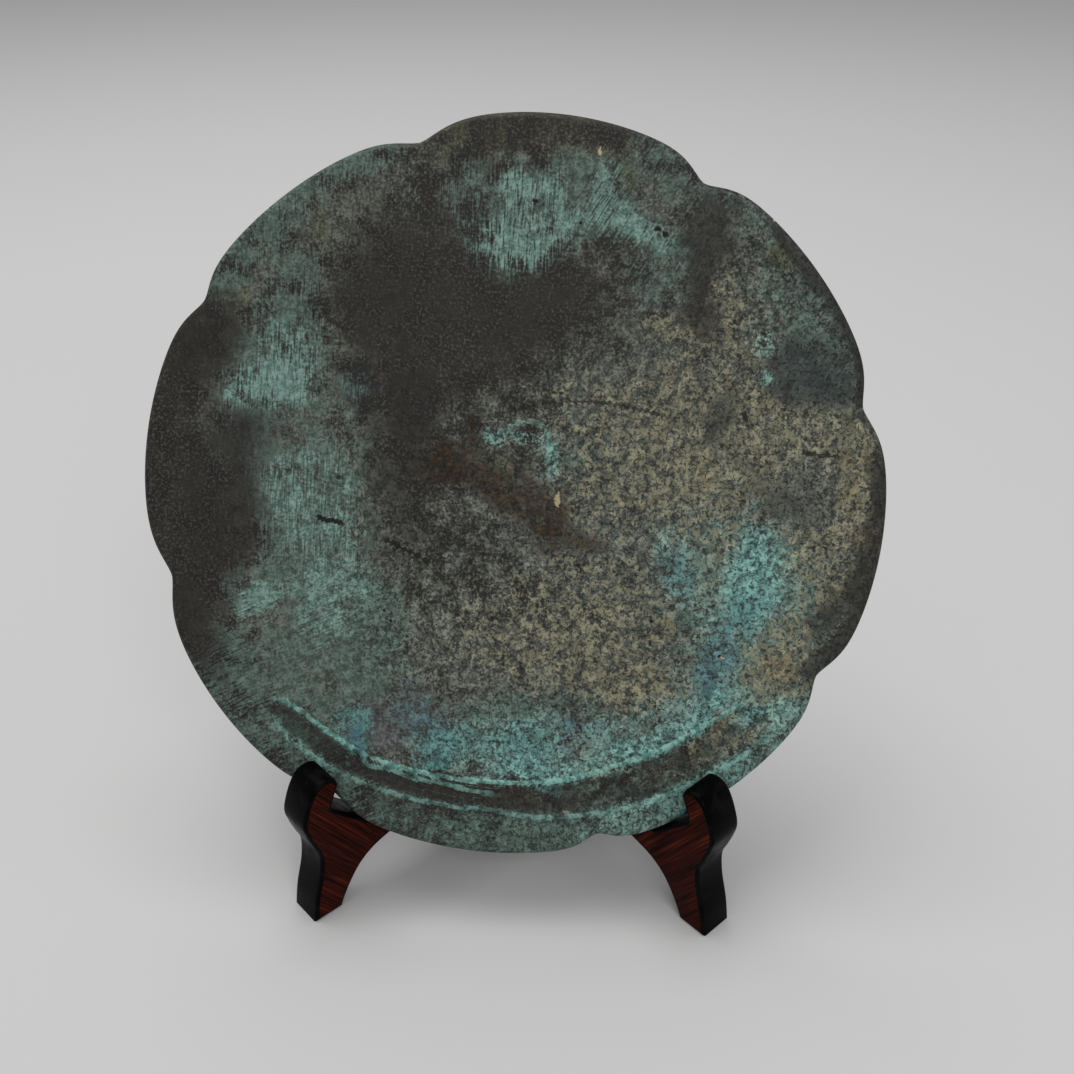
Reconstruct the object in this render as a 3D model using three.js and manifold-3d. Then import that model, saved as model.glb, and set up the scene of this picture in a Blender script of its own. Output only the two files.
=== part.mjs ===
// Ancient bronze mirror with eight lobes, leaning in a stand of two crossed hardwood boards.
// Millimetres, +Z up. The polished face looks towards -Y, and the stand stands on Z = 0.
import * as THREE from "three";
import { mergeVertices } from "three/addons/utils/BufferGeometryUtils.js";
import Module from "manifold-3d";

// Clearances.
const TOUCH_GAP = 0.3; // between pieces that touch
const JOINT_GAP = 0.3; // round each board in the slot of the other

// The mirror is one casting: a flat face, a thin plate, a raised rim, a ring and a pierced knob.
const MIRROR_RADIUS = 113;
const RIM_THICKNESS = 5;
const RIM_WIDTH = 9;
const RIM_STEP_RUN = 1.5; // the rim's inner side slopes down to the plate over this width
const PLATE_THICKNESS = 3;
const FACE_BEVEL_WIDTH = 1.6;
const FACE_BEVEL_DEPTH = 1.1;
const BACK_BEVEL = 0.8;
const RING_RADIUS = 62;
const RING_WIDTH = 4.4;
const RING_HEIGHT = 1;
const RING_SLOPE_RUN = 0.9;
const KNOB_RADIUS = 12.5;
const KNOB_HEIGHT = 11.5;
const KNOB_SHOULDER = 3; // the knob's side stands straight up to this height
const KNOB_STEPS = 5;
const CORD_HOLE_RADIUS = 3.6;
const CORD_HOLE_FLOOR = 0.6; // metal between the cord hole and the plate
const CORD_HOLE_SIDES = 16;
const SEGMENTS_PER_LOBE = 20;
const NOTCH_CROWDING = 0.6; // draws the rim's segments towards the notches, 0 spaces them evenly
const NOTCH_POWER = 1.6; // 2 would round the notches off fully, 1 would make them sharp

// The rim's eight notches, anticlockwise from the right-hand side of the face. At each one the rim
// is drawn in by depth, which dies away over spread degrees. shoulder and crown are how far the rim
// stands out from MIRROR_RADIUS at the notch, but for its depth, and at the middle of the lobe
// after it.
const NOTCHES = [
  { at: 15, depth: 4.1, spread: 4.6, shoulder: 0.2, crown: 0.2 },
  { at: 59.3, depth: 4.5, spread: 4, shoulder: 0.4, crown: 0.95 },
  { at: 105.6, depth: 3.8, spread: 4.8, shoulder: -0.8, crown: -0.2 },
  { at: 149, depth: 3.5, spread: 4, shoulder: 0.8, crown: 0.6 },
  { at: 194.7, depth: 3.9, spread: 5.2, shoulder: -0.4, crown: 0.65 },
  { at: 240, depth: 4, spread: 4.5, shoulder: 0.2, crown: -0.15 },
  { at: 285.3, depth: 3.5, spread: 3.1, shoulder: -0.1, crown: 0.6 },
  { at: 330.6, depth: 3.9, spread: 4.2, shoulder: -0.2, crown: 0.5 },
];

// How the mirror rests: its face touches the notch of each board at the seat, and leans back.
const FACE_LEAN = THREE.MathUtils.degToRad(26.4);
const MIRROR_SHIFT = -1.8; // to the left of the stand's middle
const SEAT_RUN = 15; // along a board, from its front
const SEAT_HEIGHT = 38.4;

// The stand's two boards are alike, and cross each other with half-lap slots.
const BOARD_THICKNESS = 12.3;
const BOARD_BEVEL = 1;
const BOARD_BEVEL_STEPS = 2;
const BOARD_TURN = THREE.MathUtils.degToRad(45); // each board's turn away from the X axis
const FRONT_FEET_GAP = 123.8; // between the inner corners of the two front feet
const FRONT_FOOT_LENGTH = 10.4;
const REAR_FOOT_LENGTH = 13;
const REAR_FOOT_SETBACK = 40; // from the crossing to the near end of the rear foot
const WAIST_HEIGHT = 26;
const WAIST_DEPTH = 4.8;
const KNEE_HEIGHT = 41.5;
const KNEE_DEPTH = 0.7;
const HOOK_HEIGHT = 54.6;
const HOOK_CROWN_SETBACK = 4.7; // from the top of the hook's rear side to its highest point
const HOOK_REAR_DROP = 3.6; // the hook's rear side starts this far below its highest point
const HOOK_REAR_FREEDOM = 3.6; // between the top of that side and the mirror's face, along the board
const NOTCH_RISE = 4.2; // how far the notch's slope goes up from the seat, to the hook
const NOTCH_SLOPE = THREE.MathUtils.degToRad(46);
const NOTCH_CORNER = 1.2; // the flat between the notch's slope and the hook's rear side
const NOTCH_FLOOR_HEIGHT = 29.3;
const NOTCH_FLOOR_LENGTH = 14; // from the foot of the notch's slope to the full height of the beam
const ARCH_HEIGHT = 19.3;
const ARCH_RUN = 22; // from each foot to the arch's full height
const BEAM_HEIGHT = 35; // the top of the board's low part, behind the notch
const BEAM_CAMBER = 1;
const CROSSING_HEIGHT = 48; // the top of the board where the two cross
const UPRIGHT_SETBACK = 10; // from the crossing's middle to the upright's front side
const UPRIGHT_FOOT_HEIGHT = 64;
const UPRIGHT_FLARE = 2.2; // how far its front side comes forward at its foot
const UPRIGHT_FLARE_HEIGHT = 20;
const UPRIGHT_WIDTH = 20;
const UPRIGHT_TIP_WIDTH = 14;
const TOUCH_HEIGHT = 158; // the uprights touch the mirror's back here
const TIP_RISE = 7; // from there to the top of the stand
const TIP_ROUND = 3;
const HEEL_ROUND = 3; // how far the rear foot's outer side draws in towards its top
const CURVE_SEGMENTS = 3;

const wasm = await Module();
wasm.setup();

const bronze = new THREE.MeshStandardMaterial({ color: 0x4a4a3c, roughness: 0.5, metalness: 0.8 });
const wood = () => new THREE.MeshStandardMaterial({ color: 0x35160f, roughness: 0.4, metalness: 0 });

// A closed geometry as a manifold-3d solid.
function solidOf(geometry) {
  const bare = geometry.clone();
  bare.deleteAttribute("normal");
  bare.deleteAttribute("uv");
  const merged = mergeVertices(bare, 1e-4);
  const mesh = new wasm.Mesh({
    numProp: 3,
    vertProperties: merged.getAttribute("position").array,
    triVerts: new Uint32Array(merged.index.array),
  });
  return new wasm.Manifold(mesh);
}

// One closed geometry with another cut out of it.
function cut(geometry, tool) {
  const mesh = solidOf(geometry).subtract(solidOf(tool)).getMesh();
  const result = new THREE.BufferGeometry();
  result.setAttribute("position", new THREE.BufferAttribute(mesh.vertProperties, 3));
  result.setIndex(new THREE.BufferAttribute(mesh.triVerts, 1));
  const faceted = result.toNonIndexed();
  faceted.computeVertexNormals();
  return faceted;
}

// How far the rim stands out from MIRROR_RADIUS in a lobe, share of the way to the next notch.
function rimOffset(lobe, share) {
  const notch = NOTCHES[lobe];
  const next = NOTCHES[(lobe + 1) % NOTCHES.length];
  const bow = notch.shoulder * (1 - share) * (1 - 2 * share)
    + notch.crown * 4 * share * (1 - share)
    + next.shoulder * share * (2 * share - 1);
  const width = THREE.MathUtils.euclideanModulo(next.at - notch.at, 360);
  const dip = (end, turn) => end.depth * Math.exp(-((turn / end.spread) ** NOTCH_POWER));
  return bow - dip(notch, share * width) - dip(next, (1 - share) * width);
}

// The rim's stations: its angle and offset at each segment, once round from the first notch.
function rimStations(perLobe) {
  return NOTCHES.flatMap((notch, lobe) => {
    const next = NOTCHES[(lobe + 1) % NOTCHES.length];
    const width = THREE.MathUtils.euclideanModulo(next.at - notch.at, 360);
    return Array.from({ length: perLobe }, (_, step) => {
      const even = step / perLobe;
      const share = even - (NOTCH_CROWDING * Math.sin(2 * Math.PI * even)) / (2 * Math.PI);
      const angle = THREE.MathUtils.degToRad(notch.at + share * width);
      return { angle, offset: rimOffset(lobe, share) };
    });
  });
}

// The rim's section: radius, depth behind the face, and whether the point follows the lobes.
function rimSection() {
  const edge = MIRROR_RADIUS;
  const inner = edge - RIM_WIDTH;
  return [
    [edge - FACE_BEVEL_WIDTH, 0, true],
    [edge - FACE_BEVEL_WIDTH * 0.3, FACE_BEVEL_DEPTH * 0.4, true],
    [edge, FACE_BEVEL_DEPTH, true],
    [edge, RIM_THICKNESS - BACK_BEVEL, true],
    [edge - BACK_BEVEL, RIM_THICKNESS, true],
    [inner, RIM_THICKNESS, true],
    [inner - RIM_STEP_RUN, PLATE_THICKNESS, true],
  ];
}

// The section of the plain raised ring on the back.
function ringSection() {
  const outer = RING_RADIUS + RING_WIDTH / 2;
  const inner = RING_RADIUS - RING_WIDTH / 2;
  const top = PLATE_THICKNESS + RING_HEIGHT;
  return [
    [outer, PLATE_THICKNESS, false],
    [outer - RING_SLOPE_RUN, top, false],
    [inner + RING_SLOPE_RUN, top, false],
    [inner, PLATE_THICKNESS, false],
  ];
}

// The knob's section: a short straight side, and a dome that closes on the axis.
function knobSection() {
  const dome = Array.from({ length: KNOB_STEPS + 1 }, (_, step) => {
    const turn = (Math.PI / 2) * (step / KNOB_STEPS);
    const height = KNOB_SHOULDER + (KNOB_HEIGHT - KNOB_SHOULDER) * Math.sin(turn);
    const radius = step === KNOB_STEPS ? 0 : KNOB_RADIUS * Math.cos(turn);
    return [radius, PLATE_THICKNESS + height, false];
  });
  return [[KNOB_RADIUS, PLATE_THICKNESS, false], ...dome];
}

// The mirror in its own frame: X to the right, Y out of the face, Z down the face.
function mirrorGeometry() {
  const section = [[0, 0, false], ...rimSection(), ...ringSection(), ...knobSection()];
  const stations = rimStations(SEGMENTS_PER_LOBE);
  const profile = section.map(([radius, depth]) => new THREE.Vector2(radius, -depth)).reverse();
  const lathe = new THREE.LatheGeometry(profile, stations.length);
  const place = lathe.getAttribute("position");
  for (let row = 0; row <= stations.length; row++) {
    const { angle, offset } = stations[row % stations.length];
    section.forEach(([radius, depth, lobed], step) => {
      const reach = radius + (lobed ? offset : 0);
      const vertex = row * section.length + section.length - 1 - step;
      place.setXYZ(vertex, reach * Math.cos(angle), -depth, -reach * Math.sin(angle));
    });
  }
  const hole = new THREE.CylinderGeometry(
    CORD_HOLE_RADIUS,
    CORD_HOLE_RADIUS,
    KNOB_RADIUS * 3,
    CORD_HOLE_SIDES,
  );
  hole.rotateZ(Math.PI / 2);
  hole.translate(0, -(PLATE_THICKNESS + CORD_HOLE_FLOOR + CORD_HOLE_RADIUS), 0);
  return cut(lathe, hole);
}

// A board's frame: run goes along it from its front, and across is out of its inner side.
const half = BOARD_THICKNESS / 2;
const along = new THREE.Vector2(Math.cos(BOARD_TURN), Math.sin(BOARD_TURN));
const frontX = FRONT_FEET_GAP / 2 + half * along.y;
const frontY = half * along.x;
const crossingRun = frontX / along.x;

// The Y of a point of a board.
function boardY(run, across) {
  return frontY + run * along.y - across * along.x;
}

// The run of the point of a board that has this Y.
function runAt(y, across) {
  return (y - frontY + across * along.x) / along.y;
}

// The face's plane goes through the seat at the middle of each board.
function faceY(height) {
  return boardY(SEAT_RUN, 0) + (height - SEAT_HEIGHT) * Math.tan(FACE_LEAN);
}

// The height of the notch's slope, which the rim of the mirror rests on.
function slopeHeight(run) {
  return SEAT_HEIGHT - (run - SEAT_RUN) * Math.tan(NOTCH_SLOPE);
}

// The centre of the mirror's face: as low as the rim allows, with TOUCH_GAP left under it.
function mirrorCentre() {
  const toSeat = frontX - SEAT_RUN * along.x;
  const drop = Math.sqrt(MIRROR_RADIUS ** 2 - toSeat ** 2);
  const height = SEAT_HEIGHT + drop * Math.cos(FACE_LEAN);
  const start = new THREE.Vector3(MIRROR_SHIFT, faceY(height), height);
  const slot = half + TOUCH_GAP;
  let clearance = Infinity;
  for (const { angle, offset } of rimStations(SEGMENTS_PER_LOBE * 8)) {
    for (const [radius, depth] of rimSection()) {
      const up = (radius + offset) * Math.sin(angle);
      const x = start.x + (radius + offset) * Math.cos(angle);
      const y = start.y + up * Math.sin(FACE_LEAN) + depth * Math.cos(FACE_LEAN);
      const z = start.z + up * Math.cos(FACE_LEAN) - depth * Math.sin(FACE_LEAN);
      const outward = frontX - Math.abs(x);
      const run = outward * along.x + (y - frontY) * along.y;
      const across = outward * along.y - (y - frontY) * along.x;
      const nearSeat = up < 0 && Math.abs(across) <= slot && z < HOOK_HEIGHT;
      if (nearSeat) clearance = Math.min(clearance, z - slopeHeight(run));
    }
  }
  const gain = Math.cos(FACE_LEAN) + Math.tan(NOTCH_SLOPE) * Math.sin(FACE_LEAN) * along.y;
  const lift = (TOUCH_GAP / Math.cos(NOTCH_SLOPE) - clearance) / gain;
  start.y += lift * Math.sin(FACE_LEAN);
  start.z += lift * Math.cos(FACE_LEAN);
  return start;
}

// The outline of a board: front foot, hook, notch, beam, crossing, upright and rear foot.
function boardShape() {
  const vec = (run, height) => new THREE.Vector2(run, height);
  const mix = THREE.MathUtils.lerp;
  const hookRear = HOOK_HEIGHT - HOOK_REAR_DROP;
  const hookTop = runAt(faceY(hookRear), -half) - HOOK_REAR_FREEDOM;
  const crown = hookTop - HOOK_CROWN_SETBACK;
  const slopeTop = SEAT_HEIGHT + NOTCH_RISE;
  const slopeRun = (height) => SEAT_RUN + (SEAT_HEIGHT - height) / Math.tan(NOTCH_SLOPE);
  const floorRun = slopeRun(NOTCH_FLOOR_HEIGHT);
  const backY = faceY(TOUCH_HEIGHT) + (PLATE_THICKNESS + TOUCH_GAP) / Math.cos(FACE_LEAN);
  const touchRun = runAt(backY, half) - BOARD_BEVEL * (2 - Math.SQRT2); // a rounded corner touches
  const tip = TOUCH_HEIGHT + TIP_RISE;
  const tipLean = (TIP_RISE * Math.tan(FACE_LEAN)) / along.y; // the tip recedes like the mirror
  const uprightRun = crossingRun + UPRIGHT_SETBACK;
  const rearRun = uprightRun + UPRIGHT_WIDTH;
  const rearFoot = crossingRun + REAR_FOOT_SETBACK;
  const end = rearFoot + REAR_FOOT_LENGTH;
  const shape = new THREE.Shape();
  shape.moveTo(0, 0);
  shape.splineThru([
    vec(WAIST_DEPTH * 0.3, WAIST_HEIGHT * 0.32),
    vec(WAIST_DEPTH * 0.85, WAIST_HEIGHT * 0.7),
    vec(WAIST_DEPTH, WAIST_HEIGHT),
    vec(mix(KNEE_DEPTH, WAIST_DEPTH, 0.6), mix(WAIST_HEIGHT, KNEE_HEIGHT, 1 / 3)),
    vec(mix(KNEE_DEPTH, WAIST_DEPTH, 0.2), mix(WAIST_HEIGHT, KNEE_HEIGHT, 2 / 3)),
    vec(KNEE_DEPTH, KNEE_HEIGHT),
    vec(mix(KNEE_DEPTH, crown, 0.24), mix(KNEE_HEIGHT, HOOK_HEIGHT, 0.5)),
    vec(mix(KNEE_DEPTH, crown, 0.59), mix(KNEE_HEIGHT, HOOK_HEIGHT, 0.88)),
    vec(crown, HOOK_HEIGHT),
    vec(crown + HOOK_CROWN_SETBACK * 0.75, HOOK_HEIGHT - HOOK_REAR_DROP * 0.25),
    vec(hookTop, hookRear),
  ]);
  shape.lineTo(slopeRun(slopeTop), slopeTop + NOTCH_CORNER);
  shape.lineTo(slopeRun(slopeTop), slopeTop);
  shape.lineTo(slopeRun(mix(NOTCH_FLOOR_HEIGHT, slopeTop, 0.12)), mix(NOTCH_FLOOR_HEIGHT, slopeTop, 0.12));
  shape.splineThru([
    vec(floorRun + NOTCH_FLOOR_LENGTH * 0.03, mix(NOTCH_FLOOR_HEIGHT, slopeTop, 0.02)),
    vec(floorRun + NOTCH_FLOOR_LENGTH * 0.24, NOTCH_FLOOR_HEIGHT),
    vec(floorRun + NOTCH_FLOOR_LENGTH * 0.57, mix(NOTCH_FLOOR_HEIGHT, BEAM_HEIGHT, 2 / 3)),
    vec(floorRun + NOTCH_FLOOR_LENGTH, BEAM_HEIGHT),
    vec(mix(floorRun, crossingRun, 0.6), BEAM_HEIGHT + BEAM_CAMBER),
    vec(crossingRun - BOARD_THICKNESS, mix(BEAM_HEIGHT, CROSSING_HEIGHT, 0.54)),
    vec(crossingRun, CROSSING_HEIGHT),
    vec(uprightRun - UPRIGHT_FLARE * 0.55, UPRIGHT_FOOT_HEIGHT),
    vec(uprightRun + UPRIGHT_FLARE * 0.45, UPRIGHT_FOOT_HEIGHT + UPRIGHT_FLARE_HEIGHT),
    vec(
      mix(uprightRun + UPRIGHT_FLARE * 0.9, touchRun, 0.5),
      mix(UPRIGHT_FOOT_HEIGHT + UPRIGHT_FLARE_HEIGHT, TOUCH_HEIGHT, 0.5),
    ),
    vec(touchRun, TOUCH_HEIGHT),
  ]);
  shape.splineThru([
    vec(touchRun + tipLean * 0.4 + TIP_ROUND * 0.3, TOUCH_HEIGHT + TIP_RISE * 0.4),
    vec(touchRun + tipLean * 0.85 + TIP_ROUND * 0.7, TOUCH_HEIGHT + TIP_RISE * 0.85),
    vec(touchRun + tipLean + TIP_ROUND * 1.6, tip),
    vec(touchRun + UPRIGHT_TIP_WIDTH * 0.93, tip - TIP_ROUND * 0.8),
    vec(touchRun + UPRIGHT_TIP_WIDTH, TOUCH_HEIGHT - TIP_ROUND),
    vec(mix(touchRun + UPRIGHT_TIP_WIDTH, rearRun, 0.5), mix(TOUCH_HEIGHT, UPRIGHT_FOOT_HEIGHT, 0.5)),
    vec(rearRun, UPRIGHT_FOOT_HEIGHT),
    vec(mix(rearRun, end, 0.5) - HEEL_ROUND * 0.67, BEAM_HEIGHT),
    vec(end - HEEL_ROUND, ARCH_HEIGHT * 0.7),
    vec(end, 0),
  ]);
  shape.lineTo(rearFoot, 0);
  shape.splineThru([
    vec(rearFoot - ARCH_RUN * 0.09, ARCH_HEIGHT * 0.32),
    vec(rearFoot - ARCH_RUN * 0.41, ARCH_HEIGHT * 0.78),
    vec(rearFoot - ARCH_RUN, ARCH_HEIGHT),
  ]);
  shape.lineTo(FRONT_FOOT_LENGTH + ARCH_RUN, ARCH_HEIGHT);
  shape.splineThru([
    vec(FRONT_FOOT_LENGTH + ARCH_RUN * 0.64, ARCH_HEIGHT * 0.88),
    vec(FRONT_FOOT_LENGTH + ARCH_RUN * 0.36, ARCH_HEIGHT * 0.66),
    vec(FRONT_FOOT_LENGTH + ARCH_RUN * 0.12, ARCH_HEIGHT * 0.28),
    vec(FRONT_FOOT_LENGTH, 0),
  ]);
  return shape;
}

// A board with its half-lap slot, cut down from its top or up from its arch.
function boardGeometry(slotFromTop) {
  const body = new THREE.ExtrudeGeometry(boardShape(), {
    depth: BOARD_THICKNESS - 2 * BOARD_BEVEL,
    curveSegments: CURVE_SEGMENTS,
    bevelThickness: BOARD_BEVEL,
    bevelSize: BOARD_BEVEL,
    bevelOffset: -BOARD_BEVEL,
    bevelSegments: BOARD_BEVEL_STEPS,
  });
  body.translate(0, 0, BOARD_BEVEL - half);
  const middle = (ARCH_HEIGHT + CROSSING_HEIGHT) / 2;
  const width = BOARD_THICKNESS + 2 * JOINT_GAP;
  const slot = new THREE.BoxGeometry(width, CROSSING_HEIGHT, BOARD_THICKNESS * 2);
  const shift = (CROSSING_HEIGHT - JOINT_GAP) / 2;
  slot.translate(crossingRun, slotFromTop ? middle + shift : middle - shift, 0);
  return cut(body, slot);
}

// A board's mesh, standing on its feet, with side -1 for the left one and 1 for the right one.
function boardMesh(name, side) {
  const mesh = new THREE.Mesh(boardGeometry(side < 0), wood());
  mesh.name = name;
  const run = new THREE.Vector3(-side * along.x, along.y, 0);
  const up = new THREE.Vector3(0, 0, 1);
  const basis = new THREE.Matrix4().makeBasis(run, up, run.clone().cross(up));
  mesh.applyMatrix4(basis);
  mesh.position.set(side * frontX, frontY, 0);
  return mesh;
}

const mirror = new THREE.Mesh(mirrorGeometry(), bronze);
mirror.name = "mirror";
mirror.rotation.x = Math.PI - FACE_LEAN;
mirror.position.copy(mirrorCentre());

const object = new THREE.Group();
object.add(mirror);
object.add(boardMesh("stand_left_board", -1));
object.add(boardMesh("stand_right_board", 1));

// The object's frame: the middle of its footprint on the ground.
const bounds = new THREE.Box3().setFromObject(object, true);
const middle = bounds.getCenter(new THREE.Vector3());
object.position.set(-middle.x, -middle.y, -bounds.min.z);

const part = new THREE.Group();
part.add(object);
export default part;
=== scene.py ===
"""Ancient bronze mirror with eight lobes, leaning in a stand of two crossed hardwood boards.

Every size in a class is in millimetres, and meshes are made in metres in the part's frame:
+Z up, the mirror's polished face towards -Y. Angles are in degrees unless a name says radians.
"""

import logging
import math
from collections.abc import Callable, Sequence
from dataclasses import dataclass, field
from enum import Enum

import bmesh
import bpy
import numpy as np
from mathutils import Matrix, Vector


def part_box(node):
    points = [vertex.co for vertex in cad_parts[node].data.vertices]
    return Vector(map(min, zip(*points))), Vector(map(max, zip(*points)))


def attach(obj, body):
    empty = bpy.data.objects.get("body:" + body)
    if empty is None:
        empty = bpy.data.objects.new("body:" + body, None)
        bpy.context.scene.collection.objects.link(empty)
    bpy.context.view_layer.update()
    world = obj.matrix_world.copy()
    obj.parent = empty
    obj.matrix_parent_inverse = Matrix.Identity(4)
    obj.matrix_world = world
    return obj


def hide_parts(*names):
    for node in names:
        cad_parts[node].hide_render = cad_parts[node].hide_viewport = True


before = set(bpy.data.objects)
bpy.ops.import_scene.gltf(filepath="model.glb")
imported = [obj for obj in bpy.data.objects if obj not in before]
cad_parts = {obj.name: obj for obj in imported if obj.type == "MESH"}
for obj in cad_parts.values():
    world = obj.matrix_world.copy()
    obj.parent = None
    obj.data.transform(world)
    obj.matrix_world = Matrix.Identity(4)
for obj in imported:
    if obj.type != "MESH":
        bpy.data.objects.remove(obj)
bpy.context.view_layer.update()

logging.basicConfig(level=logging.INFO, format="%(message)s")
log = logging.getLogger("bronze_mirror")

MM = 0.001  # metres in a millimetre

# the shader nodes in use, and their usual settings
ATTRIBUTE = "ShaderNodeAttribute"
BUMP = "ShaderNodeBump"
CELLS = "ShaderNodeTexVoronoi"
MATH = "ShaderNodeMath"
MIX = "ShaderNodeMix"
NOISE = "ShaderNodeTexNoise"
OUTPUT = "ShaderNodeOutputMaterial"
RAMP = "ShaderNodeMapRange"
SURFACE = "ShaderNodeBsdfPrincipled"
TURN = "ShaderNodeVectorRotate"
VECTOR = "ShaderNodeVectorMath"
COLOURS = {"data_type": "RGBA"}
FLAT_CELLS = {"voronoi_dimensions": "2D"}
FLAT_NOISE = {"noise_dimensions": "2D"}
SMOOTH = {"interpolation_type": "SMOOTHSTEP"}

Point = tuple[float, float]


# helpers


def linear(code: str) -> tuple[float, float, float, float]:
    """Turns an sRGB hex colour to the linear colour that a shader takes.

    Args:
        code: The colour as "#rrggbb".

    Returns:
        The linear red, green and blue, and an alpha of 1.
    """
    parts = [int(code[i : i + 2], 16) / 255 for i in (1, 3, 5)]
    red, green, blue = (
        c / 12.92 if c <= 0.04045 else ((c + 0.055) / 1.055) ** 2.4 for c in parts
    )
    return red, green, blue, 1.0


def add_node(
    tree: bpy.types.NodeTree,
    kind: str,
    settings: dict[str, object] | None = None,
    links: dict[str | int, object] | None = None,
    out: str | int = 0,
) -> bpy.types.NodeSocket | None:
    """Adds a shader node with its settings, values and links.

    Args:
        tree: The node tree that takes the node.
        kind: The node's type, such as "ShaderNodeMath".
        settings: Properties of the node itself, by name.
        links: What goes into each input, by name or number: a socket is linked, and anything
            else is set as the input's own value.
        out: The name or number of the output that the caller goes on with.

    Returns:
        That output, or None for a node that has no outputs.
    """
    node = tree.nodes.new(kind)
    for name, value in (settings or {}).items():
        setattr(node, name, value)
    for name, value in (links or {}).items():
        if isinstance(value, bpy.types.NodeSocket):
            tree.links.new(value, node.inputs[name])
        else:
            node.inputs[name].default_value = value
    return node.outputs[out] if node.outputs else None


def blank_material(name: str) -> tuple[bpy.types.Material, bpy.types.NodeTree]:
    """Makes a material without nodes, and gives its node tree too."""
    material = bpy.data.materials.new(name)
    material.use_nodes = True
    material.node_tree.nodes.clear()
    return material, material.node_tree


def ease(low: float, high: float, value: np.ndarray) -> np.ndarray:
    """Rises smoothly from 0 at low to 1 at high."""
    share = np.clip((value - low) / (high - low), 0, 1)
    return share * share * (3 - 2 * share)


def cloud(place: np.ndarray, size: float, seed: int, octaves: int = 3) -> np.ndarray:
    """Soft random noise over a plane.

    Args:
        place: Points of the plane, one in each row, in millimetres.
        size: The distance between the noise's largest bumps, in millimetres.
        seed: Which noise it is.
        octaves: How many finer noises are added, each half as large and half as strong.

    Returns:
        The noise at each point, from -1 to 1.
    """
    grid = np.random.default_rng(seed).uniform(-1, 1, (256, 256))
    total = np.zeros(len(place))
    weight = 0.0
    for octave in range(octaves):
        strength = 0.5**octave
        spot = place / size * 2**octave + 37.3 * octave + 128
        cell = np.floor(spot).astype(int)
        part = spot - cell
        part = part * part * (3 - 2 * part)
        x0, y0 = cell[:, 0] % 256, cell[:, 1] % 256
        x1, y1 = (x0 + 1) % 256, (y0 + 1) % 256
        low = grid[x0, y0] * (1 - part[:, 0]) + grid[x1, y0] * part[:, 0]
        high = grid[x0, y1] * (1 - part[:, 0]) + grid[x1, y1] * part[:, 0]
        total += strength * (low * (1 - part[:, 1]) + high * part[:, 1])
        weight += strength
    return total / weight


def curve_through(points: Sequence[Point], spans: int) -> list[Point]:
    """Runs a smooth curve through points.

    Args:
        points: The points, in order.
        spans: How many straight pieces replace the curve between each two points.

    Returns:
        The points of the curve, its two ends included.
    """
    dots = np.array(points, float)
    last = len(dots) - 1
    curve: list[Point] = []
    for i in range(last):
        before, start, end, after = (
            dots[max(i - 1, 0)],
            dots[i],
            dots[i + 1],
            dots[min(i + 2, last)],
        )
        leave, arrive = (end - before) / 2, (after - start) / 2
        for step in range(spans):
            t = step / spans
            place = (
                (2 * start - 2 * end + leave + arrive) * t**3
                + (-3 * start + 3 * end - 2 * leave - arrive) * t**2
                + leave * t
                + start
            )
            curve.append((float(place[0]), float(place[1])))
    curve.append((float(dots[last][0]), float(dots[last][1])))
    return curve


def line_offset(place: np.ndarray, line: Sequence[Point]) -> tuple[np.ndarray, np.ndarray]:
    """Measures how far points are from a line, and to which side of it.

    Args:
        place: The points, one in each row, in millimetres.
        line: The line's points in order, in millimetres.

    Returns:
        The distance to the line, positive on its left, and the share of the way along it.
    """
    dots = np.array(line, float)
    best = np.full(len(place), np.inf)
    signed = np.zeros(len(place))
    along = np.zeros(len(place))
    steps = np.hypot(*(dots[1:] - dots[:-1]).T)
    reached = np.concatenate([[0], np.cumsum(steps)])
    for i, step in enumerate(steps):
        direction = (dots[i + 1] - dots[i]) / step
        rel = place - dots[i]
        run = np.clip(rel @ direction, 0, step)
        away = rel - run[:, None] * direction
        distance = np.hypot(away[:, 0], away[:, 1])
        side = np.where(direction[0] * rel[:, 1] - direction[1] * rel[:, 0] >= 0, 1.0, -1.0)
        closer = distance < best
        best[closer] = distance[closer]
        signed[closer] = (side * distance)[closer]
        along[closer] = (reached[i] + run[closer]) / reached[-1]
    return signed, along


def put_attribute(mesh: bpy.types.Mesh, name: str, values: np.ndarray) -> None:
    """Writes one number or one vector for each vertex of a mesh.

    Args:
        mesh: The mesh.
        name: The attribute's name, which the materials read.
        values: A number a vertex, or three numbers a vertex.
    """
    kind, key = ("FLOAT_VECTOR", "vector") if values.ndim == 2 else ("FLOAT", "value")
    layer = mesh.attributes.new(name, kind, "POINT")
    layer.data.foreach_set(key, np.ascontiguousarray(values, np.float32).ravel())


def new_piece(
    name: str, points: np.ndarray, faces: Sequence[Sequence[int]]
) -> bpy.types.Object:
    """Makes an object from points and faces and puts it in the scene.

    Args:
        name: The piece's name.
        points: A row for each vertex, in metres in the part's frame.
        faces: The vertices of each face.

    Returns:
        The object, smooth-shaded.
    """
    mesh = bpy.data.meshes.new(name)
    mesh.from_pydata(points.tolist(), [], [list(f) for f in faces])
    mesh.update()
    mesh.polygons.foreach_set("use_smooth", [True] * len(mesh.polygons))
    piece = bpy.data.objects.new(name, mesh)
    bpy.context.scene.collection.objects.link(piece)
    return piece


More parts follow.
